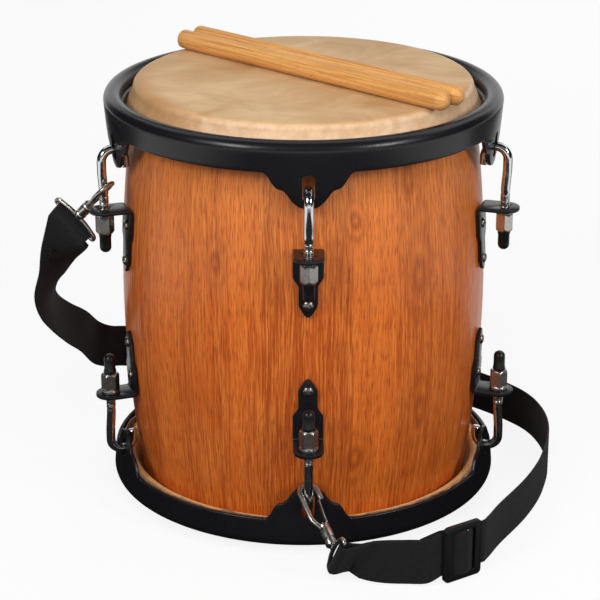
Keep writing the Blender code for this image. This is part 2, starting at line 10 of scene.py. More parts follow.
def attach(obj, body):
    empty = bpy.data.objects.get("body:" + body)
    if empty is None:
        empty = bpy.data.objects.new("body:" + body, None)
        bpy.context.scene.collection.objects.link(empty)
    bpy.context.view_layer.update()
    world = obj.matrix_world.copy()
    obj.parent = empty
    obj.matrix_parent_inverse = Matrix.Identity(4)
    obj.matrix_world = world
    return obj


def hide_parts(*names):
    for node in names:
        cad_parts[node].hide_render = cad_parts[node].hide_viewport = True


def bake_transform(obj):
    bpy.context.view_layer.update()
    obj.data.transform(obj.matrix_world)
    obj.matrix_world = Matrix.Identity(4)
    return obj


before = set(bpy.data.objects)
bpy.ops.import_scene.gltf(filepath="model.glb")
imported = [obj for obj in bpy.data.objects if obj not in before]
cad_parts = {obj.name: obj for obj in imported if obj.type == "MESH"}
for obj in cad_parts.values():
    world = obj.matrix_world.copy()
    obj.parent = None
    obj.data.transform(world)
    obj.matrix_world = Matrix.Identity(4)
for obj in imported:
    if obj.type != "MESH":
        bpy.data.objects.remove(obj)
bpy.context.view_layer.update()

# Studio
# The drum stands on a white sweep. A wide soft box hangs over it, two stand in front and one behind,
# and black cards that only reflections see keep the black steel and the chrome from washing out.
scene = bpy.context.scene
scene.view_settings.view_transform = "Standard"

camera = bpy.data.objects.new("camera", bpy.data.cameras.new("camera"))
camera.data.lens = 128.03
camera.data.sensor_width = 36
camera.location = (-0.0029, -1.7110, 0.8206)
camera.rotation_euler = (math.radians(68.9), 0, 0)
scene.collection.objects.link(camera)
scene.camera = camera


def linear(code):
    """An sRGB hex value as the linear colour that a shader takes."""
    parts = [int(code[i:i + 2], 16) / 255 for i in (1, 3, 5)]
    return (*(c / 12.92 if c <= 0.04045 else ((c + 0.055) / 1.055) ** 2.4 for c in parts), 1.0)


def add_node(tree, kind, settings=None, links=None):
    """One node with its settings and links; a link comes from a socket or from a node's first output."""
    made = tree.nodes.new(kind)
    for key, value in (settings or {}).items():
        if isinstance(key, int) or key in made.inputs.keys():
            made.inputs[key].default_value = value
        else:
            setattr(made, key, value)
    for key, source in (links or {}).items():
        tree.links.new(getattr(source, "outputs", [source])[0], made.inputs[key])
    return made


def seen_directly(tree):
    """One where the camera, a reflection or glass sees the surface, and nothing where it only lights."""
    rays = add_node(tree, "ShaderNodeLightPath")
    shiny = add_node(tree, "ShaderNodeMath", {"operation": "MAXIMUM"},
                     {0: rays.outputs["Is Camera Ray"], 1: rays.outputs["Is Glossy Ray"]})
    return add_node(tree, "ShaderNodeMath", {"operation": "MAXIMUM"},
                    {0: shiny, 1: rays.outputs["Is Transmission Ray"]})


ROOM_LIGHT = 0.18
scene.world = bpy.data.worlds.new("white room")
scene.world.use_nodes = True
room = scene.world.node_tree
room.nodes["Background"].inputs["Color"].default_value = linear("#FFFFFF")
room_strength = add_node(room, "ShaderNodeMath", {"operation": "MULTIPLY_ADD", 1: 1 - ROOM_LIGHT, 2: ROOM_LIGHT},
                         {0: seen_directly(room)})
room.links.new(room_strength.outputs[0], room.nodes["Background"].inputs["Strength"])

# Painted board, matt: it reads as paper white and keeps a faint, soft shadow of the drum.
sweep_paint = bpy.data.materials.new("matt white paint")
sweep_paint.use_nodes = True
sweep = sweep_paint.node_tree
sweep.nodes.remove(sweep.nodes["Principled BSDF"])
sweep_seen = seen_directly(sweep)
sweep_tone = add_node(sweep, "ShaderNodeMix", {"data_type": "RGBA", 6: linear("#9C9C9C"), 7: linear("#F6F6F6")},
                      {0: sweep_seen})
sweep_matt = add_node(sweep, "ShaderNodeBsdfDiffuse", {}, {"Color": sweep_tone.outputs[2]})
sweep_white = add_node(sweep, "ShaderNodeEmission", {"Color": linear("#FFFFFF"), "Strength": 1.0})
sweep_share = add_node(sweep, "ShaderNodeMath", {"operation": "MULTIPLY", 1: 0.87}, {0: sweep_seen})
sweep_mix = add_node(sweep, "ShaderNodeMixShader", {}, {0: sweep_share, 1: sweep_matt, 2: sweep_white})
sweep.links.new(sweep_mix.outputs[0], sweep.nodes["Material Output"].inputs["Surface"])


def board(name, corners, paint):
    """A flat board for the studio, which isn't part of the drum."""
    mesh = bpy.data.meshes.new(name)
    mesh.from_pydata(corners, [], [tuple(range(len(corners)))])
    mesh.materials.append(paint)
    made = bpy.data.objects.new(name, mesh)
    scene.collection.objects.link(made)
    return made


board("floor", [(-9, -9, -0.0004), (9, -9, -0.0004), (9, 9, -0.0004), (-9, 9, -0.0004)], sweep_paint)

card_black = bpy.data.materials.new("black card")
card_black.use_nodes = True
card_black.node_tree.nodes["Principled BSDF"].inputs["Base Color"].default_value = linear("#2A2A2C")
card_black.node_tree.nodes["Principled BSDF"].inputs["Roughness"].default_value = 0.9
card_black.node_tree.nodes["Principled BSDF"].inputs["Specular IOR Level"].default_value = 0.0
CARDS = {"card_floor": [(-0.62, -1.3, -0.0002), (0.66, -1.3, -0.0002), (0.66, 0.20, -0.0002), (-0.62, 0.20, -0.0002)],
         "card_floor_right": [(0.66, 0.20, -0.0002), (1.3, 0.20, -0.0002), (1.3, 1.2, -0.0002), (0.66, 1.2, -0.0002)],
         "card_floor_left": [(-1.3, 0.20, -0.0002), (-0.5, 0.20, -0.0002), (-0.5, 1.2, -0.0002), (-1.3, 1.2, -0.0002)],
         "card_back": [(-1.7, 2.7, 1.7), (1.7, 2.7, 1.7), (1.7, 2.7, 3.6), (-1.7, 2.7, 3.6)],
         "card_front": [(-1.5, -2.3, 0.45), (1.5, -2.3, 0.45), (1.5, -2.3, 1.7), (-1.5, -2.3, 1.7)],
         "card_left": [(-1.9, 2.6, -0.1), (-1.5, -2.2, -0.1), (-1.5, -2.2, 2.2), (-1.9, 2.6, 2.2)],
         "card_right": [(1.6, -2.2, -0.1), (2.1, 1.8, -0.1), (2.1, 1.8, 1.8), (1.6, -2.2, 1.8)],
         "card_over": [(-1.6, -2.3, 1.9), (1.6, -2.3, 1.9), (1.6, 0.1, 1.9), (-1.6, 0.1, 1.9)]}
for card_name, card_corners in CARDS.items():
    card = board(card_name, card_corners, card_black)
    card.visible_camera = card.visible_diffuse = card.visible_shadow = card.visible_transmission = False

SOFT_BOXES = {"overhead": ((0.0, -1.0, 1.15), 0.8, 8.6), "key": ((-1.46, -1.55, 1.4), 0.72, 22.0),
              "fill": ((1.62, -1.4, 1.2), 0.6, 19.0), "behind": ((0.5, 2.0, 1.3), 1.2, 17.0)}
for box_name, (place, width, power) in SOFT_BOXES.items():
    lamp = bpy.data.lights.new(box_name, "AREA")
    lamp.size = width
    lamp.energy = power
    lamp_object = bpy.data.objects.new(box_name, lamp)
    lamp_object.location = place
    lamp_object.rotation_euler = (Vector((0, 0, 0.22)) - Vector(place)).to_track_quat("-Z", "Y").to_euler()
    lamp_object.visible_glossy = box_name in ("key", "fill")
    scene.collection.objects.link(lamp_object)

# Barrel shell
# Twenty-six hardwood staves, glued edge to edge, turned to a barrel and rounded over at both
# bearing edges. The wood is stained orange-brown under a satin lacquer.
SHELL_HEIGHT = 0.3556
SKIN_THICKNESS = 0.0012
GAP = 0.0003
MIDDLE = SHELL_HEIGHT / 2 + GAP + SKIN_THICKNESS
BELLY_RADIUS = 0.1535
BELLY_CURVE = 0.47
SHELL_WALL = 0.011
EDGE_ROUND = 0.005
STAVES = 26
STAVE_WIDTH = math.tau * BELLY_RADIUS / STAVES
FRONT_TURN = math.radians(1.3)
END_FRAMES = {"upper": Matrix.Translation((0, 0, MIDDLE)) @ Matrix.Rotation(FRONT_TURN, 4, "Z")}
END_FRAMES["lower"] = END_FRAMES["upper"] @ Matrix.Rotation(math.pi, 4, "Y")
NODE_ENDS = {"upper": "top", "lower": "bottom"}


def arc(centre, radius, start, stop, count):
    """Points of an arc in a plane; angles in degrees."""
    turns = [math.radians(start + (stop - start) * i / (count - 1)) for i in range(count)]
    return [(centre[0] + radius * math.cos(t), centre[1] + radius * math.sin(t)) for t in turns]


def turned(name, profile, steps=256, closed=False):
    """A mesh turned from (radius, height) points. Its UV map is in metres, round from the front and along."""
    points = profile + profile[:1] if closed else profile
    runs = [0.0]
    for a, b in zip(points, points[1:]):
        runs.append(runs[-1] + math.dist(a, b))
    widest = max(r for r, _ in profile)
    angles = [math.pi / 2 + math.tau * i / steps for i in range(steps)]
    work = bmesh.new()
    uv = work.loops.layers.uv.new("UVMap")
    rings = []
    for r, z in profile:
        if r < 0.000001:
            rings.append([work.verts.new((0, 0, z))] * steps)
        else:
            rings.append([work.verts.new((r * math.cos(t), r * math.sin(t), z)) for t in angles])
    for k in range(len(points) - 1):
        low, high = rings[k], rings[(k + 1) % len(rings)]
        for i in range(steps):
            j = (i + 1) % steps
            corners = [(low[i], i, k), (high[i], i, k + 1), (high[j], i + 1, k + 1), (low[j], i + 1, k)]
            corners = [c for n, c in enumerate(corners) if c[0] is not corners[n - 1][0]]
            face = work.faces.new([c[0] for c in corners])
            for loop, (_, step, run) in zip(face.loops, corners):
                loop[uv].uv = (widest * (math.tau * step / steps - math.pi), runs[run])
    bmesh.ops.recalc_face_normals(work, faces=work.faces)
    mesh = bpy.data.meshes.new(name)
    work.to_mesh(mesh)
    work.free()
    return mesh


def fit(name, mesh, finish, body, slot, *nodes):
    """The mesh as a finished piece that rides on a body, if one is named, and stands for the plain nodes named."""
    mesh.materials.clear()
    mesh.materials.append(finish)
    mesh.shade_smooth()
    mesh.set_sharp_from_angle(angle=math.radians(32))
    made = bpy.data.objects.new(name, mesh)
    scene.collection.objects.link(made)
    if nodes:
        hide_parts(*nodes)
    if body:
        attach(made, body)
    return made


def new_finish(name, settings):
    """A material for one real finish, its node tree and its shader with the shader's constants set."""
    made = bpy.data.materials.new(name)
    made.use_nodes = True
    shader = made.node_tree.nodes["Principled BSDF"]
    for key, value in settings.items():
        shader.inputs[key].default_value = value
    return made, made.node_tree, shader


def shell_radius(height):
    """The barrel's outer radius at a height from its middle."""
    return BELLY_RADIUS - BELLY_CURVE * height * height


shoulder = SHELL_HEIGHT / 2 - EDGE_ROUND
bearing_edge = (shell_radius(shoulder) - EDGE_ROUND, shoulder)
round_over = arc(bearing_edge, EDGE_ROUND, 90, 0, 9)
barrel_side = [(shell_radius(shoulder * (1 - i / 20)), shoulder * (1 - i / 20)) for i in range(1, 40)]
barrel_inside = [(shell_radius(z) - SHELL_WALL, z) for z in (-0.1718, -0.12, -0.06, 0.0, 0.06, 0.12, 0.1718)]
shell_mesh = turned("barrel_shell", round_over + barrel_side + [(r, -z) for r, z in reversed(round_over)]
                    + barrel_inside, closed=True)
shell_mesh.transform(END_FRAMES["upper"])

# Stained rubberwood under satin lacquer: long wandering streaks, short dark open pores, and a tone
# that steps from one stave to the next.
wood, wood_tree, wood_shader = new_finish("lacquered hardwood staves", {
    "Roughness": 0.4, "Specular IOR Level": 0.3, "Coat Weight": 0.25, "Coat Roughness": 0.2})
grain_at = add_node(wood_tree, "ShaderNodeUVMap", {"uv_map": "UVMap"})
grain_axes = add_node(wood_tree, "ShaderNodeSeparateXYZ", {}, {0: grain_at})
stave_run = add_node(wood_tree, "ShaderNodeMath", {"operation": "DIVIDE", 1: STAVE_WIDTH}, {0: grain_axes})
stave = add_node(wood_tree, "ShaderNodeMath", {"operation": "FLOOR"}, {0: stave_run})
stave_seed = add_node(wood_tree, "ShaderNodeMath", {"operation": "ADD", 1: 715.0}, {0: stave})
stave_tone = add_node(wood_tree, "ShaderNodeTexWhiteNoise", {"noise_dimensions": "1D"}, {"W": stave_seed})
stave_depth = add_node(wood_tree, "ShaderNodeMath", {"operation": "MULTIPLY", 1: 0.37}, {0: stave_seed})
board_at = add_node(wood_tree, "ShaderNodeCombineXYZ", {},
                    {0: grain_axes.outputs[0], 1: grain_axes.outputs[1], 2: stave_depth})
# The grain wanders a few millimetres over a hand's length.
wander_scale = add_node(wood_tree, "ShaderNodeVectorMath", {"operation": "MULTIPLY", 1: (14, 7, 1)}, {0: board_at})
wander = add_node(wood_tree, "ShaderNodeTexNoise", {"Scale": 1.0, "Detail": 2.0}, {"Vector": wander_scale})
wander_shift = add_node(wood_tree, "ShaderNodeVectorMath", {"operation": "SUBTRACT", 1: (0.5, 0.5, 0.5)},
                        {0: wander.outputs["Color"]})
wander_size = add_node(wood_tree, "ShaderNodeVectorMath", {"operation": "MULTIPLY", 1: (0.010, 0, 0)},
                       {0: wander_shift})
wandered = add_node(wood_tree, "ShaderNodeVectorMath", {"operation": "ADD"}, {0: board_at, 1: wander_size})
# Faint oval figures, where a branch was near: place round and along, half width and half height.
OVALS = [(0.038, 0.079, 0.0060, 0.0110), (0.041, 0.283, 0.0095, 0.0150), (0.098, 0.252, 0.0090, 0.0210),
         (0.088, 0.052, 0.0085, 0.0220), (0.097, 0.133, 0.0100, 0.0240), (-0.077, 0.117, 0.0070, 0.0140)]
oval_sum = None
for across, along, half_wide, half_high in OVALS:
    oval_from = add_node(wood_tree, "ShaderNodeVectorMath", {"operation": "SUBTRACT", 1: (across, along, 0)},
                         {0: wandered})
    oval_in = add_node(wood_tree, "ShaderNodeVectorMath",
                       {"operation": "MULTIPLY", 1: (1 / half_wide, 1 / half_high, 0)}, {0: oval_from})
    oval_far = add_node(wood_tree, "ShaderNodeVectorMath", {"operation": "LENGTH"}, {0: oval_in})
    oval_wave = add_node(wood_tree, "ShaderNodeMath", {"operation": "PINGPONG", 1: 0.5},
                         {0: oval_far.outputs["Value"]})
    oval_near = add_node(wood_tree, "ShaderNodeMapRange", {"From Min": 0.3, "From Max": 2.2, "To Min": 1.0,
                                                           "To Max": 0.0}, {"Value": oval_far.outputs["Value"]})
    oval_ring = add_node(wood_tree, "ShaderNodeMath", {"operation": "MULTIPLY"}, {0: oval_wave, 1: oval_near})
    if oval_sum is None:
        oval_sum = oval_ring
    else:
        oval_sum = add_node(wood_tree, "ShaderNodeMath", {"operation": "ADD"}, {0: oval_sum, 1: oval_ring})
# Fibre streaks 1.5 mm wide and 50 mm long, growth bands 14 mm wide, pores 0.7 mm by 12 mm.
streak_scale = add_node(wood_tree, "ShaderNodeVectorMath", {"operation": "MULTIPLY", 1: (640, 19, 1)},
                        {0: wandered})
streak = add_node(wood_tree, "ShaderNodeTexNoise", {"Scale": 1.0, "Detail": 3.0, "Roughness": 0.62},
                  {"Vector": streak_scale})
growth_scale = add_node(wood_tree, "ShaderNodeVectorMath", {"operation": "MULTIPLY", 1: (72, 2.6, 1)},
                        {0: wandered})
growth = add_node(wood_tree, "ShaderNodeTexNoise", {"Scale": 1.0, "Detail": 3.0, "Roughness": 0.5},
                  {"Vector": growth_scale})
pore_scale = add_node(wood_tree, "ShaderNodeVectorMath", {"operation": "MULTIPLY", 1: (1500, 80, 1)},
                      {0: wandered})
pore = add_node(wood_tree, "ShaderNodeTexNoise", {"Scale": 1.0, "Detail": 1.5}, {"Vector": pore_scale})
pore_mark = add_node(wood_tree, "ShaderNodeMapRange", {"From Min": 0.54, "From Max": 0.65}, {"Value": pore})
wood_base = add_node(wood_tree, "ShaderNodeMix", {"data_type": "RGBA", 6: linear("#AE4C14"), 7: linear("#DC6C23")},
                     {0: stave_tone})
growth_mark = add_node(wood_tree, "ShaderNodeMapRange", {"From Min": 0.40, "From Max": 0.66, "To Max": 0.6},
                       {"Value": growth})
wood_bands = add_node(wood_tree, "ShaderNodeMix", {"data_type": "RGBA", 7: linear("#A5430F")},
                      {0: growth_mark, 6: wood_base.outputs[2]})
streak_mark = add_node(wood_tree, "ShaderNodeMapRange", {"From Min": 0.42, "From Max": 0.65, "To Max": 0.72},
                       {"Value": streak})
wood_streaks = add_node(wood_tree, "ShaderNodeMix", {"data_type": "RGBA", 7: linear("#EC8636")},
                        {0: streak_mark, 6: wood_bands.outputs[2]})
# Painted light: the shell is painted paler and more golden towards the upper rim, standing in for light that falls from
# above.
wood_height = add_node(wood_tree, "ShaderNodeSeparateXYZ", {},
                       {"Vector": add_node(wood_tree, "ShaderNodeTexCoord").outputs["Object"]})
top_light_share = add_node(wood_tree, "ShaderNodeMapRange", {"From Min": 0.2, "From Max": 0.31, "To Max": 0.24},
                      {"Value": wood_height.outputs["Z"]})
wood_top_light = add_node(wood_tree, "ShaderNodeMix", {"data_type": "RGBA", 7: linear("#E8A25C")},
                     {0: top_light_share, 6: wood_streaks.outputs[2]})
oval_mark = add_node(wood_tree, "ShaderNodeMath", {"operation": "MULTIPLY", 1: 1.3}, {0: oval_sum})
wood_ovals = add_node(wood_tree, "ShaderNodeMix", {"data_type": "RGBA", 7: linear("#8E3A10")},
                      {0: oval_mark, 6: wood_top_light.outputs[2]})
pore_share = add_node(wood_tree, "ShaderNodeMath", {"operation": "MULTIPLY", 1: 0.6}, {0: pore_mark})
wood_pores = add_node(wood_tree, "ShaderNodeMix", {"data_type": "RGBA", 7: linear("#84330D")},
                      {0: pore_share, 6: wood_ovals.outputs[2]})
wood_tree.links.new(wood_pores.outputs[2], wood_shader.inputs["Base Color"])
wood_dull = add_node(wood_tree, "ShaderNodeMapRange", {"To Min": 0.36, "To Max": 0.52}, {"Value": streak})
wood_tree.links.new(wood_dull.outputs[0], wood_shader.inputs["Roughness"])
wood_bump = add_node(wood_tree, "ShaderNodeBump", {"Strength": 0.3, "Distance": 0.00005, "invert": True},
                     {"Height": pore_mark})
wood_tree.links.new(wood_bump.outputs[0], wood_shader.inputs["Normal"])

fit("barrel_shell", shell_mesh, wood, "drum", "wood", "shell")

# Flesh hoops
# A ring of 8 mm galvanised rod for each head. The wet skin is lapped round it and shrinks on, and
# the rim pulls the ring down over the barrel.
HOOP_RADIUS = 0.1519
HOOP_WIRE = 0.004
HOOP_HEIGHT = 0.1568
hoop_steel, hoop_tree, hoop_shader = new_finish("galvanised steel rod", {
    "Base Color": linear("#8E9093"), "Metallic": 1.0})
hoop_at = add_node(hoop_tree, "ShaderNodeTexCoord")
hoop_bloom = add_node(hoop_tree, "ShaderNodeTexNoise", {"Scale": 260.0, "Detail": 3.0},
                      {"Vector": hoop_at.outputs["Object"]})
hoop_dull = add_node(hoop_tree, "ShaderNodeMapRange", {"To Min": 0.34, "To Max": 0.6}, {"Value": hoop_bloom})
hoop_tree.links.new(hoop_dull.outputs[0], hoop_shader.inputs["Roughness"])
for end, end_frame in END_FRAMES.items():
    hoop_mesh = turned(f"{end}_hoop_ring", arc((HOOP_RADIUS, HOOP_HEIGHT), HOOP_WIRE, 90, -250, 18), closed=True)
    hoop_mesh.transform(end_frame)
    fit(f"{end}_hoop_ring", hoop_mesh, hoop_steel, f"{end}_rim", "hoop_steel", f"{NODE_ENDS[end]}_flesh_hoop")

# Skins
# Thick goat hide, scraped and stretched wet over the bearing edge. It is flat and tight on top, and
# the collar that runs down to the hoop is paler, mottled and a little puckered.
HEAD_FLAT_RADIUS = 0.1335
SKIN_FACE = SHELL_HEIGHT / 2 + GAP + SKIN_THICKNESS


def skin_profile():
    """The skin in section: flat, over the bearing edge, down to the hoop, under it and up outside it."""
    hoop = (HOOP_RADIUS, HOOP_HEIGHT)
    near = HOOP_WIRE + 2 * GAP
    over = EDGE_ROUND + 0.0004
    outer = [(0, SKIN_FACE)] + [(HEAD_FLAT_RADIUS * i / 8, SKIN_FACE) for i in range(1, 9)]
    outer += arc(bearing_edge, over + SKIN_THICKNESS, 78, 0, 9)
    outer += [(0.1431, 0.1676), (0.1452, 0.1622)] + arc(hoop, near, 180, 370, 15)
    lip = [(HOOP_RADIUS + near + 0.0003, HOOP_HEIGHT + 0.0014), (HOOP_RADIUS + near + 0.0009, HOOP_HEIGHT + 0.0014)]
    inner = arc(hoop, near + SKIN_THICKNESS, 370, 180, 15) + [(0.1440, 0.1620), (0.1419, 0.1674)]
    inner += arc(bearing_edge, over, 0, 78, 7) + [(HEAD_FLAT_RADIUS, SKIN_FACE - SKIN_THICKNESS)]
    return outer + lip + inner + [(0, SKIN_FACE - SKIN_THICKNESS)]


def puckered(mesh):
    """The collar's shallow radial puckers, none at the bearing edge and most by the hoop."""
    for v in mesh.vertices:
        reach = math.hypot(v.co.x, v.co.y)
        share = min(1.0, max(0.0, (reach - 0.1400) / 0.006)) * (1 if reach < 0.1475 else 0.3)
        if share:
            t = math.atan2(v.co.y, v.co.x)
            wave = math.sin(17 * t + 0.7) + 0.8 * math.sin(29 * t + 2.1) + 0.6 * math.sin(53 * t + 4.0)
            grow = 1 + 0.00022 * share * wave / reach
            v.co.x *= grow
            v.co.y *= grow


def joined(name, meshes):
    """Several meshes as one."""
    work = bmesh.new()
    for mesh in meshes:
        work.from_mesh(mesh)
    made = bpy.data.meshes.new(name)
    work.to_mesh(made)
    work.free()
    return made


def surplus():
    """The skin's trimmed surplus: a thin strip that lines the rim, with an uneven edge."""
    strip = turned("skin_surplus", [(0.1567, 0.1560), (0.1579, 0.1520), (0.1582, 0.1478), (0.1591, 0.1478),
                                    (0.1589, 0.1520), (0.1577, 0.1560)], closed=True)
    for v in strip.vertices:
        share = (0.1560 - v.co.z) / 0.0082
        t = math.atan2(v.co.y, v.co.x)
        v.co.z += 0.0005 * share * (math.sin(23 * t) + 0.7 * math.sin(41 * t + 1.3) + 0.5 * math.sin(67 * t + 0.4))
        grow = 1 - 0.003 * share * (0.5 + 0.5 * math.sin(19 * t + 2.0) * math.sin(7 * t))
        v.co.x *= grow
        v.co.y *= grow
    return strip


# Hide, satin from the scraper: warm tan with cloudy patches, a few fine fibres lying one way, and
# browner at the front left where it bends over the bearing edge. Outside the hoop it is left rough
# and grey-brown, painted darker as shade in the gap inside the rim, and the lower collar has yellowed.
hide, hide_tree, hide_shader = new_finish("scraped goat hide", {"Roughness": 0.5, "Sheen Weight": 0.05})
hide_at = add_node(hide_tree, "ShaderNodeTexCoord")
cloud = add_node(hide_tree, "ShaderNodeTexNoise", {"Scale": 16.0, "Detail": 5.0, "Roughness": 0.55,
                                                   "Distortion": 0.6}, {"Vector": hide_at.outputs["Object"]})
fibre_scale = add_node(hide_tree, "ShaderNodeMapping", {"Rotation": (0, 0, 0.5), "Scale": (60, 620, 300)},
                       {"Vector": hide_at.outputs["Object"]})
fibre = add_node(hide_tree, "ShaderNodeTexNoise", {"Scale": 1.0, "Detail": 3.0}, {"Vector": fibre_scale})
fleck = add_node(hide_tree, "ShaderNodeTexNoise", {"Scale": 110.0, "Detail": 4.0, "Roughness": 0.6},
                 {"Vector": hide_at.outputs["Object"]})
cloud_mark = add_node(hide_tree, "ShaderNodeMapRange", {"From Min": 0.36, "From Max": 0.64}, {"Value": cloud})
hide_base = add_node(hide_tree, "ShaderNodeMix", {"data_type": "RGBA", 6: linear("#C0925C"),
                                                  7: linear("#DDB888")}, {0: cloud_mark})
fibre_mark = add_node(hide_tree, "ShaderNodeMapRange", {"From Min": 0.5, "From Max": 0.75, "To Max": 0.35},
                      {"Value": fibre})
hide_fibres = add_node(hide_tree, "ShaderNodeMix", {"data_type": "RGBA", 7: linear("#B98A58")},
                       {0: fibre_mark, 6: hide_base.outputs[2]})
hide_flat = add_node(hide_tree, "ShaderNodeVectorMath", {"operation": "MULTIPLY", 1: (1, 1, 0)},
                     {0: hide_at.outputs["Object"]})
hide_reach = add_node(hide_tree, "ShaderNodeVectorMath", {"operation": "LENGTH"}, {0: hide_flat})
collar_mark = add_node(hide_tree, "ShaderNodeMapRange", {"From Min": 0.1372, "From Max": 0.1396},
                       {"Value": hide_reach.outputs["Value"]})
fleck_mark = add_node(hide_tree, "ShaderNodeMapRange", {"From Min": 0.36, "From Max": 0.62}, {"Value": fleck})
collar_base = add_node(hide_tree, "ShaderNodeMix", {"data_type": "RGBA", 6: linear("#D8AD83"),
                                                    7: linear("#E6C29B")}, {0: fleck_mark})
hide_collar = add_node(hide_tree, "ShaderNodeMix", {"data_type": "RGBA"},
                       {0: collar_mark, 6: hide_fibres.outputs[2], 7: collar_base.outputs[2]})
hide_axes = add_node(hide_tree, "ShaderNodeSeparateXYZ", {}, {0: hide_at.outputs["Object"]})
low_mark = add_node(hide_tree, "ShaderNodeMapRange", {"From Min": 0.06, "From Max": 0.04, "To Max": 0.65},
                    {"Value": hide_axes.outputs[2]})
gold_share = add_node(hide_tree, "ShaderNodeMath", {"operation": "MULTIPLY"}, {0: low_mark, 1: collar_mark})
hide_gold = add_node(hide_tree, "ShaderNodeMix", {"data_type": "RGBA", 7: linear("#DFA24A")},
                     {0: gold_share, 6: hide_collar.outputs[2]})
# Painted shade: the rough surplus outside the hoop is partly its own grey-brown and partly a darker tone standing in
# for shade in the gap inside the rim.
rough_and_shade_mark = add_node(hide_tree, "ShaderNodeMapRange", {"From Min": 0.1520, "From Max": 0.1555},
                      {"Value": hide_reach.outputs["Value"]})
rough_and_shade_tone = add_node(hide_tree, "ShaderNodeMix", {"data_type": "RGBA", 6: linear("#6E5040"), 7: linear("#A98B74")},
                      {0: fleck_mark})
hide_rough_and_shade = add_node(hide_tree, "ShaderNodeMix", {"data_type": "RGBA"},
                      {0: rough_and_shade_mark, 6: hide_gold.outputs[2], 7: rough_and_shade_tone.outputs[2]})
brown_in = add_node(hide_tree, "ShaderNodeMapRange", {"From Min": 0.122, "From Max": 0.134},
                    {"Value": hide_reach.outputs["Value"]})
brown_out = add_node(hide_tree, "ShaderNodeMapRange", {"From Min": 0.1430, "From Max": 0.1500, "To Min": 1.0,
                                                       "To Max": 0.0}, {"Value": hide_reach.outputs["Value"]})
brown_patch = add_node(hide_tree, "ShaderNodeTexNoise", {"Scale": 7.0, "Detail": 2.0},
                       {"Vector": hide_at.outputs["Object"]})
brown_mark = add_node(hide_tree, "ShaderNodeMapRange", {"From Min": 0.30, "From Max": 0.55, "To Max": 0.85},
                      {"Value": brown_patch})
brown_side = add_node(hide_tree, "ShaderNodeMapRange", {"From Min": -0.07, "From Max": -0.108},
                      {"Value": hide_axes.outputs[0]})
brown_ring = add_node(hide_tree, "ShaderNodeMath", {"operation": "MULTIPLY"}, {0: brown_in, 1: brown_out})
brown_left = add_node(hide_tree, "ShaderNodeMath", {"operation": "MULTIPLY"}, {0: brown_ring, 1: brown_side})
brown_share = add_node(hide_tree, "ShaderNodeMath", {"operation": "MULTIPLY"}, {0: brown_left, 1: brown_mark})
hide_colour = add_node(hide_tree, "ShaderNodeMix", {"data_type": "RGBA", 7: linear("#B98348")},
                       {0: brown_share, 6: hide_rough_and_shade.outputs[2]})
hide_tree.links.new(hide_colour.outputs[2], hide_shader.inputs["Base Color"])
hide_dull = add_node(hide_tree, "ShaderNodeMapRange", {"To Min": 0.42, "To Max": 0.6}, {"Value": cloud})
hide_tree.links.new(hide_dull.outputs[0], hide_shader.inputs["Roughness"])
hide_height = add_node(hide_tree, "ShaderNodeMath", {"operation": "ADD"}, {0: fibre, 1: fleck})
hide_bump = add_node(hide_tree, "ShaderNodeBump", {"Strength": 0.4, "Distance": 0.0001}, {"Height": hide_height})
hide_tree.links.new(hide_bump.outputs[0], hide_shader.inputs["Normal"])

for end, end_frame in END_FRAMES.items():
    skin_mesh = turned(f"{end}_head_skin", skin_profile())
    puckered(skin_mesh)
    skin_mesh = joined(f"{end}_head_skin", [skin_mesh, surplus()])
    skin_mesh.transform(end_frame)
    skin_piece = fit(f"{end}_head_skin", skin_mesh, hide, None, "hide", f"{NODE_ENDS[end]}_skin")
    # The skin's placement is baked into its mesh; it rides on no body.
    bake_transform(skin_piece)

# Rims
# Each rim is 3 mm sheet steel, rolled over at the top so that it is round under the hand, with five
# deep ears that are slotted for the hooks. It is powder-coated black after forming.
RIM_ROLL = 0.0078
RIM_ROLL_AT = 0.1577
RIM_ROLL_HEIGHT = 0.1639
RIM_STEEL = 0.003
SKIRT_RADIUS = 0.1640
SKIRT_LEAN = 0.085
SKIRT_EDGE = 0.147
SLOT_WIDTH = 0.0102
SLOT_HIGH = 0.1455
SLOT_LOW = 0.1243
LUGS = 5
LUG_TURN = math.tau / LUGS
EAR_LINE = [(0.0, 0.030), (0.0077, 0.0282), (0.0135, 0.0230), (0.0175, 0.0167), (0.0202, 0.0144),
            (0.0250, 0.0131), (0.0279, 0.0101), (0.0322, 0.0024), (0.0350, 0.0), (0.2, 0.0)]


def ear_drop(across):
    """How far the skirt's edge hangs lower at a distance across from a lug, with its corners eased."""
    total = 0.0
    for shift in (-0.0012, -0.0006, 0.0, 0.0006, 0.0012):
        at = abs(across + shift)
        for (a, high), (b, low) in zip(EAR_LINE, EAR_LINE[1:]):
            if a <= at < b:
                total += high + (low - high) * (at - a) / (b - a)
    return total / 5


def rim_section(edge):
    """The rim in section where its skirt ends at this height. The wall leans in below the roll."""
    roll = (RIM_ROLL_AT, RIM_ROLL_HEIGHT)
    outer = arc(roll, RIM_ROLL, 190, -math.degrees(math.atan(SKIRT_LEAN)), 22)
    wall_top, top = outer[-1]
    heights = [edge + (top - edge) * k / 9 for k in (8, 7, 6, 5, 4, 3, 2, 1)]
    outer += [(wall_top - SKIRT_LEAN * (top - z), z) for z in heights]
    foot, lip = wall_top - SKIRT_LEAN * (top - edge), 0.0009
    outer += arc((foot - lip, edge + lip), lip, 0, -90, 4)
    inner = arc((foot - RIM_STEEL + lip, edge + lip), lip, -90, -180, 4)
    inner += [(wall_top - SKIRT_LEAN * (top - z) - RIM_STEEL, z) for z in reversed(heights[2:])]
    return outer + inner + arc(roll, RIM_ROLL - RIM_STEEL, -10, 190, 14)


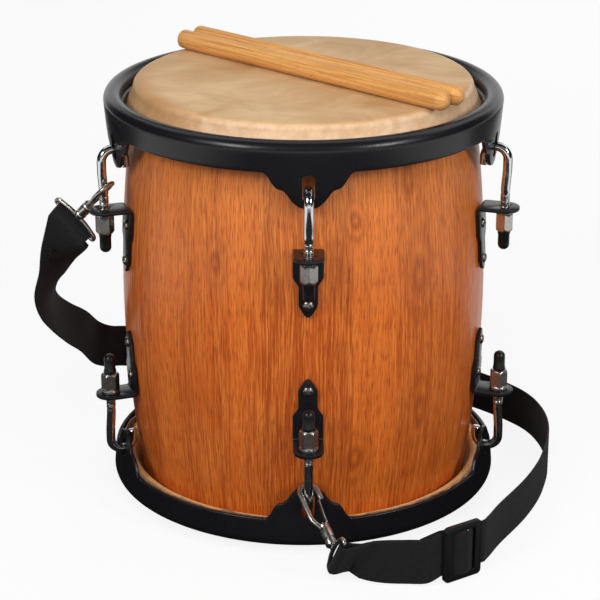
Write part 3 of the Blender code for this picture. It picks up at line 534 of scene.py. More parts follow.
def prism(name, points, shift):
    """A flat outline given as 3-D points, extruded by the shift."""
    work = bmesh.new()
    near = [work.verts.new(p) for p in points]
    far = [work.verts.new(Vector(p) + Vector(shift)) for p in points]
    work.faces.new(near)
    work.faces.new(list(reversed(far)))
    for i, _ in enumerate(points):
        j = (i + 1) % len(points)
        work.faces.new((near[i], far[i], far[j], near[j]))
    bmesh.ops.recalc_face_normals(work, faces=work.faces)
    mesh = bpy.data.meshes.new(name)
    work.to_mesh(mesh)
    work.free()
    return mesh


def carved(name, mesh, cuts, edge=0.0):
    """A mesh cut or joined with others, in order, and its sharp edges eased by a small width."""
    draft = bpy.data.objects.new(name, mesh)
    tools = [bpy.data.objects.new(f"{name}_tool", tool) for _, tool in cuts]
    for thing in [draft] + tools:
        scene.collection.objects.link(thing)
    for (operation, _), tool in zip(cuts, tools):
        step = draft.modifiers.new(operation, "BOOLEAN")
        step.operation = operation
        step.solver = "EXACT"
        step.object = tool
    if edge:
        easing = draft.modifiers.new("eased edges", "BEVEL")
        easing.width = edge
        easing.segments = 2
        easing.limit_method = "ANGLE"
        easing.angle_limit = math.radians(40)
    bpy.context.view_layer.update()
    graph = bpy.context.evaluated_depsgraph_get()
    made = bpy.data.meshes.new_from_object(draft.evaluated_get(graph))
    made.name = name
    work = bmesh.new()
    work.from_mesh(made)
    bmesh.ops.remove_doubles(work, verts=work.verts, dist=0.000001)
    work.to_mesh(made)
    work.free()
    for thing in [draft] + tools:
        bpy.data.objects.remove(thing)
    return made


def pressed_rim():
    """The rim's sheet with its ears, in the frame of its own end."""
    offsets = [x * 0.001 for x in range(-38, 39)] + [0.038 + (SKIRT_RADIUS * LUG_TURN - 0.076) * k / 28 for k in range(1, 28)]
    work = bmesh.new()
    rings = []
    for index in range(LUGS):
        for across in offsets:
            t = -math.pi / 2 + LUG_TURN * index + across / SKIRT_RADIUS
            away = min(across, SKIRT_RADIUS * LUG_TURN - across)
            section = rim_section(SKIRT_EDGE - ear_drop(abs(across) if across < 0.05 else away))
            rings.append([work.verts.new((r * math.cos(t), r * math.sin(t), z)) for r, z in section])
    for i, ring in enumerate(rings):
        after = rings[(i + 1) % len(rings)]
        for j in range(len(ring)):
            k = (j + 1) % len(ring)
            work.faces.new((ring[j], ring[k], after[k], after[j]))
    bmesh.ops.recalc_face_normals(work, faces=work.faces)
    mesh = bpy.data.meshes.new("pressed_rim")
    work.to_mesh(mesh)
    work.free()
    half, corner = SLOT_WIDTH / 2, 0.0036
    slot_line = arc((half - corner, SLOT_HIGH - corner), corner, 0, 90, 7)
    slot_line += arc((corner - half, SLOT_HIGH - corner), corner, 90, 180, 7)
    slot_line += arc((corner - half, SLOT_LOW + corner), corner, 180, 270, 7)
    slot_line += arc((half - corner, SLOT_LOW + corner), corner, 270, 360, 7)
    punches = []
    for index in range(LUGS):
        punch = prism(f"punch_{index}", [(0.150, x, z) for x, z in slot_line], (0.020, 0, 0))
        punch.transform(Matrix.Rotation(-math.pi / 2 + LUG_TURN * index, 4, "Z"))
        punches.append(("DIFFERENCE", punch))
    return carved("pressed_rim", mesh, punches)


# Powder coat, satin black: baked on, so it has a faint orange peel about 2 mm across and no grain.
black_steel, black_tree, black_shader = new_finish("satin black powder coat", {
    "Base Color": linear("#131316"), "Roughness": 0.29, "Specular IOR Level": 0.45})
peel_at = add_node(black_tree, "ShaderNodeTexCoord")
peel = add_node(black_tree, "ShaderNodeTexNoise", {"Scale": 480.0, "Detail": 2.0}, {"Vector": peel_at.outputs["Object"]})
peel_dull = add_node(black_tree, "ShaderNodeMapRange", {"To Min": 0.24, "To Max": 0.34}, {"Value": peel})
black_tree.links.new(peel_dull.outputs[0], black_shader.inputs["Roughness"])
rubbed = add_node(black_tree, "ShaderNodeTexNoise", {"Scale": 22.0, "Detail": 4.0}, {"Vector": peel_at.outputs["Object"]})
black_tone = add_node(black_tree, "ShaderNodeMix", {"data_type": "RGBA", 6: linear("#101013"),
                                                    7: linear("#18181B")}, {0: rubbed})
black_tree.links.new(black_tone.outputs[2], black_shader.inputs["Base Color"])
peel_bump = add_node(black_tree, "ShaderNodeBump", {"Strength": 0.25, "Distance": 0.00003}, {"Height": peel})
black_tree.links.new(peel_bump.outputs[0], black_shader.inputs["Normal"])

rim_mesh = pressed_rim()
for end, end_frame in END_FRAMES.items():
    own_rim = rim_mesh.copy()
    own_rim.transform(end_frame)
    fit(f"{end}_pressed_rim", own_rim, black_steel, f"{end}_rim", "black_steel", f"{NODE_ENDS[end]}_rim")

# Lug brackets
# Ten L-shaped lugs of 3 mm flat steel, five to a head. The pointed plate is screwed to the barrel
# and follows its slope, and the round-ended tongue stands out and carries the hook's rod.
ROD_AT = 0.1725
ROD_WIRE = 0.0039
TONGUE_TOP = 0.083
BRACKET_STEEL = 0.003
BRACKET_HALF = 0.01225
BRACKET_NARROW = 0.00765
BRACKET_TIP = 0.0265
PLACES = ["front", "right", "rear_right", "rear_left", "left"]
FIRST_LUG = FRONT_TURN - math.pi / 2
plate_low = shell_radius(BRACKET_TIP) + GAP + 0.0005 + BRACKET_STEEL
plate_high = shell_radius(TONGUE_TOP) + GAP + 0.0005 + BRACKET_STEEL
PLATE_LEAN = (plate_high - plate_low) / (0.078 - 0.0245)


def grown(name, tree, values, mesh=None):
    """What a node tree makes of a mesh, as a plain mesh. Its inputs are set by their identifiers."""
    draft = bpy.data.objects.new(name, mesh or bpy.data.meshes.new(name))
    scene.collection.objects.link(draft)
    step = draft.modifiers.new(name, "NODES")
    step.node_group = tree
    for socket in tree.interface.items_tree:
        if socket.in_out == "INPUT" and socket.name in values:
            step[socket.identifier] = values[socket.name]
    bpy.context.view_layer.update()
    graph = bpy.context.evaluated_depsgraph_get()
    made = bpy.data.meshes.new_from_object(draft.evaluated_get(graph))
    made.name = name
    bpy.data.objects.remove(draft)
    return made


def new_tree(name, inputs):
    """A node tree that takes and gives geometry, with these named inputs."""
    tree = bpy.data.node_groups.new(name, "GeometryNodeTree")
    tree.interface.new_socket("Geometry", in_out="INPUT", socket_type="NodeSocketGeometry")
    for label, kind in inputs:
        tree.interface.new_socket(label, in_out="INPUT", socket_type=kind)
    tree.interface.new_socket("Geometry", in_out="OUTPUT", socket_type="NodeSocketGeometry")
    return tree, add_node(tree, "NodeGroupInput"), add_node(tree, "NodeGroupOutput")


# One piece of a lug, repeated round the drum: a lower lug is an upper one turned end for end.
round_drum, given, shown = new_tree("lug pieces round the drum", [
    ("Upper lugs", "NodeSocketInt"), ("Lower lugs", "NodeSocketInt"), ("First lug", "NodeSocketFloat"),
    ("Lug turn", "NodeSocketFloat"), ("Middle", "NodeSocketFloat"), ("Finish", "NodeSocketMaterial")])
lug_index = add_node(round_drum, "GeometryNodeInputIndex")
lug_turned = add_node(round_drum, "ShaderNodeMath", {"operation": "MULTIPLY_ADD"},
                      {0: lug_index, 1: given.outputs["Lug turn"], 2: given.outputs["First lug"]})
lug_over = add_node(round_drum, "ShaderNodeMath", {"operation": "ADD", 1: math.pi}, {0: lug_turned})
lug_height = add_node(round_drum, "ShaderNodeCombineXYZ", {}, {2: given.outputs["Middle"]})
lug_rings = []
for label, flip, turn in (("Upper lugs", 0.0, lug_turned), ("Lower lugs", math.pi, lug_over)):
    lug_points = add_node(round_drum, "GeometryNodePoints", {}, {"Count": given.outputs[label], "Position": lug_height})
    lug_facing = add_node(round_drum, "ShaderNodeCombineXYZ", {1: flip}, {2: turn})
    lug_rings.append(add_node(round_drum, "GeometryNodeInstanceOnPoints", {},
                              {"Points": lug_points, "Instance": given.outputs["Geometry"], "Rotation": lug_facing}))
lug_join = add_node(round_drum, "GeometryNodeJoinGeometry")
for lug_ring in lug_rings:
    round_drum.links.new(lug_ring.outputs[0], lug_join.inputs[0])
lug_real = add_node(round_drum, "GeometryNodeRealizeInstances", {}, {0: lug_join})
lug_finish = add_node(round_drum, "GeometryNodeSetMaterial", {}, {"Geometry": lug_real,
                                                                  "Material": given.outputs["Finish"]})
round_drum.links.new(lug_finish.outputs[0], shown.inputs[0])


def round_lugs(name, mesh, finish, upper=LUGS, lower=LUGS):
    """A lug's piece, made in the lug's own frame, at every lug of one end or of both."""
    return grown(name, round_drum, {"Upper lugs": upper, "Lower lugs": lower, "First lug": FIRST_LUG,
                                    "Lug turn": LUG_TURN, "Middle": MIDDLE, "Finish": finish}, mesh)


def bent_bracket():
    """An L of flat steel in section, trimmed to its outlines from the front and from above."""
    at_tip, at_top = plate_low - BRACKET_STEEL, plate_high - BRACKET_STEEL
    tip, top, steel, half, narrow = BRACKET_TIP - 0.002, TONGUE_TOP, BRACKET_STEEL, BRACKET_HALF, BRACKET_NARROW
    reach = ROD_AT + half + 0.002
    side = [(at_tip, tip), (plate_low, tip), (plate_high, top - steel - 0.002)]
    side += arc((plate_high + 0.0016, top - steel - 0.0016), 0.0016, 170, 95, 4)
    side += [(reach, top - steel), (reach, top)] + arc((at_top + 0.0042, top - 0.0042), 0.0042, 90, 180, 7)
    sheet = prism("bent_sheet", [(r, -half - 0.001, z) for r, z in side], (0, 2 * half + 0.002, 0))
    line = [(half, 0.09), (half, 0.0600), (half - 0.0003, 0.0585), (narrow + 0.0007, 0.0532), (narrow, 0.0515),
            (narrow, 0.0368), (narrow * 0.92, 0.0352), (narrow * 0.40, 0.0285), (narrow * 0.16, BRACKET_TIP + 0.0004),
            (0, BRACKET_TIP)]
    line += [(-x, z) for x, z in reversed(line[:-1])]
    front = prism("bracket_front", [(0.14, x, z) for x, z in line], (0.06, 0, 0))
    plan = [(0.140, half + 0.002), (0.140, -half - 0.002), (ROD_AT, -half - 0.002)]
    plan += arc((ROD_AT, 0), half, -90, 90, 25) + [(ROD_AT, half + 0.002)]
    above = prism("bracket_plan", [(r, y, 0) for r, y in plan], (0, 0, 0.12))
    hole = turned("rod_hole", [(0, 0.07), (ROD_WIRE + 0.0006, 0.07), (ROD_WIRE + 0.0006, 0.09), (0, 0.09)], 32)
    hole.transform(Matrix.Translation((ROD_AT, 0, 0)))
    return carved("bent_bracket", sheet, [("INTERSECT", front), ("INTERSECT", above), ("DIFFERENCE", hole)], 0.0005)


fit("lug_brackets", round_lugs("lug_brackets", bent_bracket(), black_steel), black_steel, "drum", "black_steel",
    *[f"{end}_bracket_{place}" for end in NODE_ENDS.values() for place in PLACES])

# Wood screws
# Two pan-head screws with a cross recess hold each bracket to the barrel. They are zinc-plated
# steel, duller than the chrome of the hooks.
SCREW_RADIUS = 0.00435
SCREW_HEIGHTS = (0.0366, 0.0668)


def pan_screw():
    """A pan head with its cross recess, standing on the origin."""
    dome = [(0, 0.0023), (0.0012, 0.00226), (0.0024, 0.00205), (0.0034, 0.0016), (0.0041, 0.0009),
            (SCREW_RADIUS, 0.0003), (SCREW_RADIUS, -0.0002), (0, -0.0002)]
    slots = [(0.0023, 0.00052), (0.00052, 0.0023)]
    tools = [("DIFFERENCE", prism("screw_slot", [(x, y, 0.0009), (-x, y, 0.0009), (-x, -y, 0.0009), (x, -y, 0.0009)],
                                  (0, 0, 0.003))) for x, y in slots]
    return carved("pan_screw", turned("pan_screw", dome, 28), tools)


zinc, zinc_tree, zinc_shader = new_finish("zinc-plated steel", {"Base Color": linear("#A9A49B"), "Metallic": 1.0})
zinc_at = add_node(zinc_tree, "ShaderNodeTexCoord")
zinc_bloom = add_node(zinc_tree, "ShaderNodeTexNoise", {"Scale": 900.0, "Detail": 2.0},
                      {"Vector": zinc_at.outputs["Object"]})
zinc_dull = add_node(zinc_tree, "ShaderNodeMapRange", {"To Min": 0.2, "To Max": 0.42}, {"Value": zinc_bloom})
zinc_tree.links.new(zinc_dull.outputs[0], zinc_shader.inputs["Roughness"])

screw_pair = bmesh.new()
for number, height in enumerate(SCREW_HEIGHTS):
    head = pan_screw()
    out = plate_low + PLATE_LEAN * (height - 0.0245)
    head.transform(Matrix.Translation((out, 0, height)) @ Matrix.Rotation(math.pi / 2 + math.atan(PLATE_LEAN), 4, "Y")
                   @ Matrix.Rotation(0.5 + number, 4, "Z"))
    screw_pair.from_mesh(head)
screw_mesh = bpy.data.meshes.new("screw_pair")
screw_pair.to_mesh(screw_mesh)
screw_pair.free()
fit("bracket_screws", round_lugs("bracket_screws", screw_mesh, zinc), zinc, "drum", "chrome")

# Tuning hooks
# Ten J-shaped rods of 7.8 mm steel, one for each lug, bent cold, thread-rolled for M7 at the free
# end and chrome-plated. The bend drops through the ear's slot and pulls the rim down.
THREAD_RADIUS = 0.0036
THREAD_PITCH = 0.00125
HOOK_BEND = 0.0097
HOOK_BEND_HEIGHT = 0.1236
ROD_END = 0.050


def drawn_wire(name, points, radius, factors=None, cyclic=False):
    """A round wire along the points, as a plain mesh with closed ends."""
    curve = bpy.data.curves.new(name, "CURVE")
    curve.dimensions = "3D"
    curve.bevel_depth = radius
    curve.bevel_resolution = 4
    curve.use_fill_caps = True
    spline = curve.splines.new("POLY")
    spline.points.add(len(points) - 1)
    for i, place in enumerate(points):
        spline.points[i].co = (*place, 1)
        spline.points[i].radius = factors[i] if factors else 1.0
    spline.use_cyclic_u = cyclic
    draft = bpy.data.objects.new(name, curve)
    scene.collection.objects.link(draft)
    bpy.context.view_layer.update()
    made = bpy.data.meshes.new_from_object(draft.evaluated_get(bpy.context.evaluated_depsgraph_get()))
    bpy.data.objects.remove(draft)
    work = bmesh.new()
    work.from_mesh(made)
    bmesh.ops.remove_doubles(work, verts=work.verts, dist=0.000001)
    bmesh.ops.recalc_face_normals(work, faces=work.faces)
    work.to_mesh(made)
    work.free()
    return made


# A rolled thread: a ridge that climbs one pitch a turn round the rod it is given.
rolled_thread, given, shown = new_tree("rolled thread", [
    ("Turns", "NodeSocketFloat"), ("Pitch", "NodeSocketFloat"), ("Radius", "NodeSocketFloat"),
    ("Ridge", "NodeSocketFloat"), ("Start", "NodeSocketVector"), ("Finish", "NodeSocketMaterial")])
thread_rise = add_node(rolled_thread, "ShaderNodeMath", {"operation": "MULTIPLY"},
                       {0: given.outputs["Turns"], 1: given.outputs["Pitch"]})
thread_line = add_node(rolled_thread, "GeometryNodeCurveSpiral", {"Resolution": 18},
                       {"Rotations": given.outputs["Turns"], "Start Radius": given.outputs["Radius"],
                        "End Radius": given.outputs["Radius"], "Height": thread_rise})
thread_ridge = add_node(rolled_thread, "GeometryNodeCurvePrimitiveCircle", {"Resolution": 4},
                        {"Radius": given.outputs["Ridge"]})
thread_body = add_node(rolled_thread, "GeometryNodeCurveToMesh", {"Fill Caps": True},
                       {"Curve": thread_line, "Profile Curve": thread_ridge})
thread_place = add_node(rolled_thread, "GeometryNodeTransform", {}, {"Geometry": thread_body,
                                                                     "Translation": given.outputs["Start"]})
thread_join = add_node(rolled_thread, "GeometryNodeJoinGeometry")
rolled_thread.links.new(thread_place.outputs[0], thread_join.inputs[0])
rolled_thread.links.new(given.outputs["Geometry"], thread_join.inputs[0])
thread_real = add_node(rolled_thread, "GeometryNodeRealizeInstances", {}, {0: thread_join})
thread_finish = add_node(rolled_thread, "GeometryNodeSetMaterial", {}, {"Geometry": thread_real,
                                                                        "Material": given.outputs["Finish"]})
rolled_thread.links.new(thread_finish.outputs[0], shown.inputs[0])

# Bright chrome over nickel: mirror-like, with a slight haze from handling.
chrome, chrome_tree, chrome_shader = new_finish("chrome-plated steel", {"Base Color": linear("#DADBDD"),
                                                                        "Metallic": 1.0})
haze_at = add_node(chrome_tree, "ShaderNodeTexCoord")
haze = add_node(chrome_tree, "ShaderNodeTexNoise", {"Scale": 130.0, "Detail": 4.0}, {"Vector": haze_at.outputs["Object"]})
haze_dull = add_node(chrome_tree, "ShaderNodeMapRange", {"From Min": 0.4, "From Max": 0.75, "To Min": 0.09,
                                                         "To Max": 0.24}, {"Value": haze})
chrome_tree.links.new(haze_dull.outputs[0], chrome_shader.inputs["Roughness"])


def bent_hook():
    """The rod in its lug's frame: up from the free end, a slight set outwards, over and down."""
    centre = (ROD_AT + 0.0011 - HOOK_BEND, HOOK_BEND_HEIGHT)
    route = [(ROD_AT, ROD_END), (ROD_AT, ROD_END + 0.0006), (ROD_AT, 0.070), (ROD_AT, 0.094), (ROD_AT, 0.0955)]
    route += [(ROD_AT + 0.0011 * (3 * s * s - 2 * s ** 3), 0.0965 + 0.0200 * s) for s in [i / 8 for i in range(9)]]
    route += arc(centre, HOOK_BEND, 0, 180, 26)
    foot = centre[0] - HOOK_BEND
    route += [(foot, HOOK_BEND_HEIGHT - drop) for drop in (0.003, 0.0056, 0.0062, 0.0065)]
    thin = THREAD_RADIUS / ROD_WIRE
    factors = [thin * 0.8] + [thin] * 4 + [1.0] * (len(route) - 7) + [0.9, 0.72]
    factors[4] = (thin + 1) / 2
    return drawn_wire("bent_hook", [(r, 0, z) for r, z in route], ROD_WIRE, factors)


# Nickel plate, satin: the plating is thin and duller in the thread, and on the nuts and the snap hooks.
nickel, nickel_tree, nickel_shader = new_finish("satin nickel plate", {"Base Color": linear("#D2CDC6"),
                                                                       "Metallic": 1.0})
nickel_at = add_node(nickel_tree, "ShaderNodeTexCoord")
nickel_bloom = add_node(nickel_tree, "ShaderNodeTexNoise", {"Scale": 300.0, "Detail": 3.0},
                        {"Vector": nickel_at.outputs["Object"]})
nickel_dull = add_node(nickel_tree, "ShaderNodeMapRange", {"To Min": 0.2, "To Max": 0.4}, {"Value": nickel_bloom})
nickel_tree.links.new(nickel_dull.outputs[0], nickel_shader.inputs["Roughness"])
nickel_tone = add_node(nickel_tree, "ShaderNodeMix", {"data_type": "RGBA", 6: linear("#C4BEB6"),
                                                      7: linear("#DCD8D2")}, {0: nickel_bloom})
nickel_tree.links.new(nickel_tone.outputs[2], nickel_shader.inputs["Base Color"])

hook_mesh = bent_hook()
thread_mesh = grown("hook_thread", rolled_thread, {"Turns": 34.0, "Pitch": THREAD_PITCH, "Radius": THREAD_RADIUS,
                                                   "Ridge": 0.00042, "Start": (ROD_AT, 0, 0.0512),
                                                   "Finish": nickel})
for end, counts in (("upper", (LUGS, 0)), ("lower", (0, LUGS))):
    fit(f"{end}_tuning_hooks", round_lugs(f"{end}_tuning_hooks", hook_mesh, chrome, *counts), chrome, f"{end}_rim",
        "chrome", *[f"{NODE_ENDS[end]}_hook_{place}" for place in PLACES])
    fit(f"{end}_hook_threads", round_lugs(f"{end}_hook_threads", thread_mesh, nickel, *counts), nickel, f"{end}_rim",
        "chrome")

# Washers and tuning nuts
# A plain washer lies under each tongue, and a tall chrome hexagon nut with a flared base turns
# against it to draw the rod. The free end of the nut is chamfered.
NUT_ACROSS = 0.0134
NUT_LENGTH = 0.0175
NUT_BASE_RADIUS = 0.0078
NUT_BORE = 0.0043
NUT_TOP = TONGUE_TOP - BRACKET_STEEL - GAP
WASHER_STEEL = 0.0009


def hexagon_nut():
    """The nut hanging from the origin, with an edge outwards."""
    rows = [-WASHER_STEEL - 0.0003 - x for x in (0, 0.0004, 0.0010, 0.0016, 0.0024, 0.004, 0.009, 0.0135)]
    rows += [-NUT_LENGTH + x for x in (0.0018, 0.0014, 0.0010, 0.0007, 0.0004, 0.0002, 0)]
    steps, work, rings = 72, bmesh.new(), []
    for z in rows:
        down, left, ring = -z - WASHER_STEEL - 0.0003, z + NUT_LENGTH, []
        for i in range(steps):
            t = math.tau * i / steps
            flat = NUT_ACROSS / 2 / math.cos((i % 12) * math.tau / steps - math.pi / 6)
            chamfer = NUT_ACROSS / 2 + 0.0001 - 0.0006 + left * 0.85
            flare = NUT_BASE_RADIUS - 0.0002 - (0.0 if down < 0.0009 else (down - 0.0009) * 0.95)
            r = max(min(flat, chamfer), flare if down < 0.003 else 0.0)
            ring.append(work.verts.new((r * math.cos(t), r * math.sin(t), z)))
        rings.append(ring)
    for radius, z in ((NUT_BORE + 0.0008, -NUT_LENGTH), (NUT_BORE, -NUT_LENGTH + 0.0006), (NUT_BORE, rows[0])):
        rings.append([work.verts.new((radius * math.cos(math.tau * i / steps), radius * math.sin(math.tau * i / steps),
                                      z)) for i in range(steps)])
    for k, ring in enumerate(rings):
        after = rings[(k + 1) % len(rings)]
        for i in range(steps):
            j = (i + 1) % steps
            work.faces.new((ring[i], after[i], after[j], ring[j]))
    bmesh.ops.recalc_face_normals(work, faces=work.faces)
    mesh = bpy.data.meshes.new("hexagon_nut")
    work.to_mesh(mesh)
    work.free()
    return mesh


washer_line = [(0.0046, -WASHER_STEEL), (0.0046, 0), (0.0076, 0), (0.0078, -0.0002), (0.0078, 0.0002 - WASHER_STEEL),
               (0.0076, -WASHER_STEEL)]
washer_mesh = turned("washer", washer_line, 40, closed=True)
washer_mesh.transform(Matrix.Translation((ROD_AT, 0, NUT_TOP)))
fit("nut_washers", round_lugs("nut_washers", washer_mesh, zinc), zinc, "drum", "chrome")

for end, end_frame in END_FRAMES.items():
    side = 1 if end == "upper" else -1
    for index, place in enumerate(PLACES):
        nut_mesh = hexagon_nut()
        nut_turn = math.radians(4 if end == "upper" else 30) + 0.35 * index * (index - 5)
        nut_mesh.transform(end_frame @ Matrix.Rotation(-math.pi / 2 + side * LUG_TURN * index, 4, "Z")
                           @ Matrix.Translation((ROD_AT, 0, NUT_TOP)) @ Matrix.Rotation(nut_turn, 4, "Z"))
        node = f"{NODE_ENDS[end]}_nut_{place}"
        fit(f"{end}_hexagon_nut_{place}", nut_mesh, nickel, node, "chrome", node)

# Thread caps
# Soft black vinyl caps, dip-moulded, pushed over the free threads so that they don't scratch the
# player. They are smooth, and a little rounder and shinier than the powder coat.
CAP_RADIUS = 0.0052
CAP_END = 0.0455
vinyl, vinyl_tree, vinyl_shader = new_finish("dip-moulded black vinyl", {"Base Color": linear("#121214")})
vinyl_at = add_node(vinyl_tree, "ShaderNodeTexCoord")
vinyl_skin = add_node(vinyl_tree, "ShaderNodeTexNoise", {"Scale": 420.0, "Detail": 2.0},
                      {"Vector": vinyl_at.outputs["Object"]})
vinyl_dull = add_node(vinyl_tree, "ShaderNodeMapRange", {"To Min": 0.24, "To Max": 0.4}, {"Value": vinyl_skin})
vinyl_tree.links.new(vinyl_dull.outputs[0], vinyl_shader.inputs["Roughness"])
vinyl_bump = add_node(vinyl_tree, "ShaderNodeBump", {"Strength": 0.2, "Distance": 0.00005}, {"Height": vinyl_skin})
vinyl_tree.links.new(vinyl_bump.outputs[0], vinyl_shader.inputs["Normal"])

cap_mouth = NUT_TOP - NUT_LENGTH - GAP
cap_line = [(0, ROD_END - GAP), (NUT_BORE, ROD_END - GAP), (NUT_BORE, cap_mouth), (CAP_RADIUS - 0.0003, cap_mouth),
            (CAP_RADIUS, cap_mouth - 0.0004), (CAP_RADIUS, cap_mouth - 0.0024), (CAP_RADIUS - 0.0004, cap_mouth - 0.0032)]
cap_line += [(0.0048 * math.cos(t), CAP_END + 0.0046 - 0.0046 * math.sin(t))
             for t in [math.radians(9 * i) for i in range(10)]] + [(0, CAP_END)]
cap_mesh = turned("thread_cap", cap_line, 32)
cap_mesh.transform(Matrix.Translation((ROD_AT, 0, 0)))
for end, counts in (("upper", (LUGS, 0)), ("lower", (0, LUGS))):
    fit(f"{end}_thread_caps", round_lugs(f"{end}_thread_caps", cap_mesh, vinyl, *counts), vinyl, f"{end}_rim", "rubber",
        *[f"{NODE_ENDS[end]}_cap_{place}" for place in PLACES])

# Carrying strap
# One length of 38 mm black polyester webbing. It is sewn round the slide's middle bar, runs through
# the front eye and back through the slide, and round the drum to the left eye, where it is sewn.
WEBBING_WIDTH = 0.038
WEBBING_THICKNESS = 0.0016
EYE_REACH = 0.012
UP = Vector((0, 0, 1))
FRONT_SNAP = Vector((0.0226, -0.2094, 0.0332))
FRONT_AWAY = Vector((0.36, -0.755, -0.548)).normalized()
FRONT_BAR = FRONT_SNAP + FRONT_AWAY * EYE_REACH
FRONT_WIDE = Vector((0.236, -0.494, 0.837))
LEFT_SNAP = Vector((-0.18587, -0.03084, 0.24813))
LEFT_AWAY = Vector((-0.481, 0.600, -0.639)).normalized()
LEFT_BAR = LEFT_SNAP + LEFT_AWAY * EYE_REACH
LEFT_WIDE = Vector((0.677, -0.209, -0.706))
BUCKLE_AT = Vector((0.1260, -0.2010, 0.0244))
BUCKLE_TURN = math.radians(34)
BUCKLE_ALONG = Vector((math.cos(BUCKLE_TURN), math.sin(BUCKLE_TURN), 0))
BUCKLE_OUT = Vector((math.sin(BUCKLE_TURN), -math.cos(BUCKLE_TURN), 0))


def catmull(a, b, c, d, t):
    """The point at t between b and c of a curve that runs through all four."""
    return 0.5 * (2 * b + (c - a) * t + (2 * a - 5 * b + 4 * c - d) * t * t + (3 * b - a - 3 * c + d) * t ** 3)


def smoothed(stations, parts):
    """The stations with further ones between them on a smooth curve."""
    found = []
    last = len(stations) - 1
    for i in range(last):
        four = [stations[max(0, min(last, i + k))] for k in (-1, 0, 1, 2)]
        for part in range(parts):
            t = part / parts
            found.append((catmull(*[s[0] for s in four], t), catmull(*[s[1] for s in four], t).normalized()))
    found.append(stations[last])
    return found


def layer(stations, offset):
    """The stations moved sideways, off their band's face."""
    found = []
    for i, (place, wide) in enumerate(stations):
        ahead = stations[min(i + 1, len(stations) - 1)][0] - stations[max(i - 1, 0)][0]
        found.append((place + ahead.normalized().cross(wide).normalized() * offset, wide))
    return found


def eye_loop(bar, leaving, wide):
    """Stations round an eye's bar, from the side that the strap leaves to."""
    wide = wide.normalized()
    out = (leaving - wide * leaving.dot(wide)).normalized()
    side = out.cross(wide)
    points = [(0.014, -0.00115), (0.008, -0.0018), (0.0036, -0.00285), (0.0006, -0.00315), (-0.0023, -0.0022),
              (-0.00315, 0.0), (-0.0023, 0.0022), (0.0006, 0.00315), (0.0036, 0.00285), (0.008, 0.0018),
              (0.014, 0.00115)]
    return [(bar + out * u + side * v, wide) for u, v in points]


def at_buckle(points):
    """Stations given along and outwards from the slide's centre."""
    return [(BUCKLE_AT + BUCKLE_ALONG * s + BUCKLE_OUT * t, UP) for s, t in points]


def strap_stations(parts):
    """The strap from its sewn end at the slide, by the front eye, round the drum to the left eye."""
    sewn = at_buckle([(-0.032, -0.0096), (-0.016, -0.0086), (-0.009, -0.0070), (-0.0052, -0.0052), (0, -0.0034),
                      (0.0026, -0.0026), (0.0035, -0.0006), (0.0030, 0.0010), (0.0014, 0.0018), (-0.0014, 0.0018),
                      (-0.0034, 0.0006), (-0.0056, -0.0024), (-0.009, -0.0044), (-0.016, -0.0056)])
    sewn[0] = (sewn[0][0] - 0.0024 * UP, UP)
    threaded = at_buckle([(-0.016, -0.0033), (-0.0125, -0.0033), (-0.008, -0.0002), (-0.0036, 0.0033), (0, 0.0039),
                          (0.0036, 0.0033), (0.008, -0.0002), (0.0125, -0.0033), (0.019, -0.0034), (0.026, -0.0042)])
    pair = [(FRONT_BAR + Vector((0.0093, 0.0034, -0.0014)), FRONT_WIDE.normalized()),
            (Vector((0.048, -0.2135, 0.0229)), Vector((0.10, -0.25, 0.96))),
            (Vector((0.064, -0.2115, 0.0203)), Vector((0.02, -0.05, 1.0))),
            (Vector((0.082, -0.2122, 0.0204)), UP), (Vector((0.0966, -0.2146, 0.0222)), UP)]
    pair += at_buckle([(-0.020, -0.0046)])
    pair = smoothed([(p, w.normalized()) for p, w in pair], parts)[parts:]
    front_loop = eye_loop(FRONT_BAR, Vector((0.933, 0.331, -0.140)), FRONT_WIDE)
    free = [(151, -169, 22.6), (161, -145, 20.4), (182, -106, 19.4), (195, -78, 19.3), (205, -50, 19.3),
            (214, -12, 19.3), (217, 22, 19.3), (214, 52, 19.3), (205, 80, 19.3), (188, 105, 19.3), (160, 134, 19.3),
            (120, 165, 19.3), (65, 190, 19.3), (0, 200, 19.5), (-50, 194, 24), (-100, 175, 38), (-140, 146, 56),
            (-165, 119, 69)]
    free = [(Vector(p) * 0.001, UP) for p in free]
    rising = [((-179, 100, 76.6), (0, 0.1, 1)), ((-188.7, 88, 85.5), (0, 0.25, 0.97)),
              ((-197.9, 72, 102.7), (0.03, 0.45, 0.9)), ((-208.7, 55, 117.2), (0.06, 0.68, 0.73)),
              ((-218.0, 38, 133.5), (0.12, 0.88, 0.46)), ((-221.9, 25, 149.0), (0.26, 0.96, 0.12)),
              ((-220.0, 12, 168.5), (0.40, 0.90, -0.12)), ((-210.4, 0, 192.4), (0.58, 0.78, -0.24)),
              ((-201.6, -11, 215.7), (0.84, 0.25, -0.46))]
    rising = [(Vector(p) * 0.001, Vector(w).normalized()) for p, w in rising]
    long_run = smoothed(threaded[-1:] + free + rising, parts)[1:]
    left_loop = eye_loop(LEFT_BAR, rising[-1][0] - LEFT_BAR, LEFT_WIDE)
    shift = left_loop[-1][0] - left_loop[0][0]
    end_layer = [(p - shift, w) for p, w in reversed(long_run[-parts:])]
    return (sewn + list(reversed(layer(pair, -0.00115))) + front_loop + layer(pair, 0.00115) + threaded + long_run
            + list(reversed(left_loop)) + end_layer)


